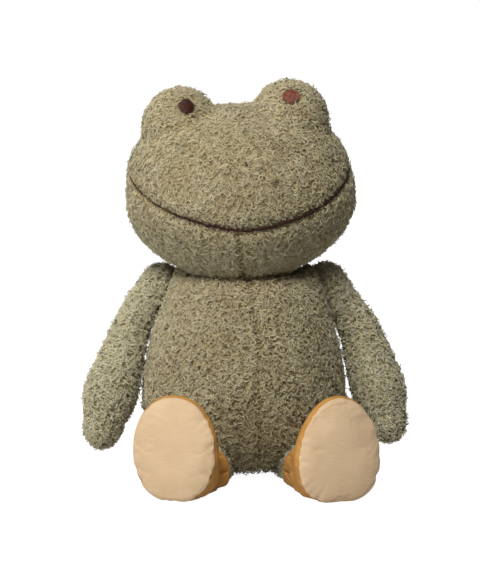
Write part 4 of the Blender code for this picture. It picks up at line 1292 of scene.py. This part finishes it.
PEACH = cloth_material("peach_cloth", (0.572, 0.406, 0.246), (0.643, 0.473, 0.299), 7000.0, 0.85, 0.15, "Weave", sheen=0.1)
OCHRE = cloth_material("ochre_cloth", (0.40, 0.19, 0.045), (0.56, 0.29, 0.08), 7000.0, 0.8, 0.2, "Weave", sheen=0.0)
LEG_TONE = 0.75
for name, side in (("left", 1), ("right", -1)):
    body = "leg_" + name
    rng = np.random.default_rng(80 + side)
    wad = closed_form(f"leg_{name}_stuffing", leg_stuffing(side), 81, 61, WADDING)
    standing(wad, body, "stuffing", f"leg_{name}_filling")
    sleeve = sleeve_skin(side)
    ankle = edge_line(sleeve, v=1.0, count=60)
    panel = pile_panel(
        f"leg_{name}_pile", sleeve, 82 + side, LEG_TONE, lambda p: np.array((0, -0.8, 0)) * np.ones((len(p), 1)),
        [ankle], lambda p: np.full(len(p), 0.85), closed=True, rows=10, columns=61, density=0.6e6, parting=-0.4,
    )
    standing(panel, body, "pile", f"leg_{name}_sleeve")

    rows = UPPER_ROWS + SOLE_ROWS - 1
    shares = np.concatenate([
        np.linspace(0, FOOT_SEAM, UPPER_ROWS), FOOT_SEAM + (1 - FOOT_SEAM) * np.linspace(0, 1, SOLE_ROWS)[1:],
    ])
    u, v = np.meshgrid(np.linspace(0, 1, FOOT_COLUMNS), shares)
    shape = foot_skin(side)(u, v)
    seam_row = UPPER_ROWS - 1
    coarse = shape[::2, ::2]
    _, sign = grid_normals(coarse)
    flat, first, parts = welded(coarse.reshape(-1, 3), cells(*coarse.shape[:2])[:, ::int(sign)])
    _, back = np.unique(np.round(coarse.reshape(-1, 3) / WELD).astype(np.int64), axis=0, return_inverse=True)
    row_of = first // coarse.shape[1]
    held = (row_of == 0) | (row_of == seam_row // 2) | (flat[:, 2] < 0.3 * MM)
    quads = [corner for part, _ in parts for corner in part.tolist()]
    shift = blown(f"foot_{name}", flat, quads, held, 0.012)[back.reshape(-1)].reshape(coarse.shape)
    middle = np.clip((np.arange(len(shift)) - len(shift) + 10) / 6, 0, 1)[:, None, None]
    shift = shift + (shift[-10].mean(axis=0) - shift) * middle
    for axis in (0, 1):
        shift = np.moveaxis(shift, axis, 0)
        between = np.stack([shift[:-1], (shift[:-1] + shift[1:]) / 2], 1).reshape(-1, *shift.shape[1:])
        shift = np.moveaxis(np.concatenate([between, shift[-1:]]), 0, axis)
    shape = shape + shift
    angle = TURN * u
    from_seam = np.interp(v, (0, FOOT_SEAM, 0.7, 0.85, 1), np.array((55, 0, 4.8, 17.9, 35)) * MM)
    pucker = np.zeros_like(u)
    for centre, depth in zip(math.pi + np.arange(-5, 7) * 0.17 + rng.normal(0, 0.03, 12), rng.uniform(0.5, 1.5, 12)):
        pucker += depth * np.exp(-(((angle - centre) / 0.06) ** 2))
    for centre, depth in zip(rng.uniform(0, TURN, 8), rng.uniform(0.4, 1.1, 8)):
        pucker += depth * np.exp(-(((angle - centre) / 0.07) ** 2))
    pucker *= np.exp(-from_seam / (7 * MM)) * np.clip(1 - from_seam / (26 * MM), 0, 1) * 0.9 * MM
    groove = np.where(v < FOOT_SEAM, 0.4 * MM * np.exp(-((from_seam / MM - 1.4) ** 2)), 0)
    along = v / FOOT_SEAM
    tuck = np.zeros_like(u)
    for centre, first, last, depth in TUCKS[side]:
        span = np.clip((along - first) / 0.06, 0, 1) * np.clip((last - along) / 0.1, 0, 1)
        tuck += depth * span * np.exp(-(((angle - centre) / 0.07) ** 2))
    groove = groove + tuck * MM
    normal, _ = grid_normals(shape)
    normal[-1] = unit(normal[-2].mean(axis=0))
    soft = np.concatenate([normal[:1]] * SEAM_BLEND + [normal] + [normal[-1:]] * SEAM_BLEND)
    normal = unit(sum(soft[k:k + rows] for k in range(2 * SEAM_BLEND + 1)))
    shape = shape - normal * (pucker + groove)[..., None]
    gusset = cloth_shell(f"foot_{name}_gusset", shape[:UPPER_ROWS], WOVEN_DEPTH, OCHRE, True)
    standing(gusset, body, "ochre_cloth", f"foot_{name}_upper")
    sole = cloth_shell(f"foot_{name}_sole_cloth", shape[seam_row:], WOVEN_DEPTH, PEACH, False)
    standing(sole, body, "peach_cloth", f"foot_{name}_sole")

# The studio: a white sweep under and behind the frog, an even white sky and three soft boxes:
# one high in front on its right, one low and further round on its right, and a weak one overhead.
TARGET = np.array((-3.8, 0, 136.8)) * MM
CAMERA_AZIMUTH = math.radians(-4)
CAMERA_ELEVATION = math.radians(7)
CAMERA_DISTANCE = 1.6
LONG_SIDE_AT_TARGET = 587 * 0.77 * MM
SENSOR = 36.0
BOWL_RADIUS = 3.0
BOWL_BEND = 1.2
SKY = 0.12
PAPER_GLOWS = (0.08, 0.95)


def from_angles(azimuth, elevation):
    """A unit vector toward a place seen from the middle: azimuth 0 is in front, and it grows to the frog's left."""
    return np.array((
        math.sin(azimuth) * math.cos(elevation), -math.cos(azimuth) * math.cos(elevation), math.sin(elevation)
    ))


def linked(name, data):
    item = bpy.data.objects.new(name, data)
    bpy.context.scene.collection.objects.link(item)
    return item


lens = bpy.data.cameras.new("camera")
lens.sensor_fit = "AUTO"
lens.sensor_width = SENSOR
lens.lens = SENSOR * CAMERA_DISTANCE / LONG_SIDE_AT_TARGET
lens.clip_start, lens.clip_end = 0.05, 50
camera = linked("camera", lens)

back = from_angles(CAMERA_AZIMUTH, CAMERA_ELEVATION)


def look(item, place, target):
    back = unit(np.array(place) - np.array(target))
    across = unit(np.cross((0, 0, 1), back))
    item.matrix_world = Matrix(
        [[*row, at] for row, at in zip(np.stack([across, np.cross(back, across), back], -1), place)] + [[0, 0, 0, 1]]
    )


look(camera, TARGET + back * CAMERA_DISTANCE, TARGET)
bpy.context.scene.camera = camera

for name, azimuth, elevation, distance, size, power, colour in (
    ("key", -15, 46, 1.6, 0.6, 20.8, (1.0, 0.985, 0.96)),
    ("side", -54, 5, 2.2, 1.4, 24.5, (1.0, 0.99, 0.98)),
    ("top", -20, 80, 1.8, 1.2, 2.0, (1.0, 1.0, 1.0)),
):
    lamp = bpy.data.lights.new(name, "AREA")
    lamp.shape = "DISK"
    lamp.size = size
    lamp.energy = power
    lamp.color = colour
    way = from_angles(math.radians(azimuth), math.radians(elevation))
    look(linked(name, lamp), TARGET + way * distance, TARGET)

world = bpy.data.worlds.new("sky")
world.use_nodes = True
world.node_tree.nodes["Background"].inputs["Color"].default_value = (1, 0.965, 0.9, 1)
world.node_tree.nodes["Background"].inputs["Strength"].default_value = SKY
bpy.context.scene.world = world
bpy.context.scene.view_settings.view_transform = "Standard"

u, v = grid(40, 97)
run = np.interp(v, (0, 0.4, 0.8, 1), (0, BOWL_RADIUS, BOWL_RADIUS + BOWL_BEND * math.pi / 2, BOWL_RADIUS + BOWL_BEND * math.pi / 2 + 1.2))
bend = np.clip((run - BOWL_RADIUS) / BOWL_BEND, 0, math.pi / 2)
far = np.minimum(run, BOWL_RADIUS) + BOWL_BEND * np.sin(bend)
rise = BOWL_BEND * (1 - np.cos(bend)) + np.maximum(run - BOWL_RADIUS - BOWL_BEND * math.pi / 2, 0)
bowl = np.stack([far * np.sin(TURN * u), far * np.cos(TURN * u), rise - 0.0002], -1)
paper, tree, shader = new_material("paper", (0.9, 0.9, 0.9), {"Roughness": 0.9, "Specular IOR Level": 0.1})
shader.inputs["Base Color"].default_value = (0.5, 0.5, 0.5, 1)
glow = add(
    tree, "ShaderNodeMix", {0: add(tree, "ShaderNodeLightPath").outputs["Is Camera Ray"],
                            6: (*[PAPER_GLOWS[0]] * 3, 1), 7: (*[PAPER_GLOWS[1]] * 3, 1)}, data_type="RGBA",
)
tree.links.new(glow.outputs[2], shader.inputs["Emission Color"])
shader.inputs["Emission Strength"].default_value = 1.0
paper.cycles.emission_sampling = "NONE"
points, _, parts = welded(bowl.reshape(-1, 3), cells(40, 97))
floor = build("floor", points, [new for new, _ in parts], paper)
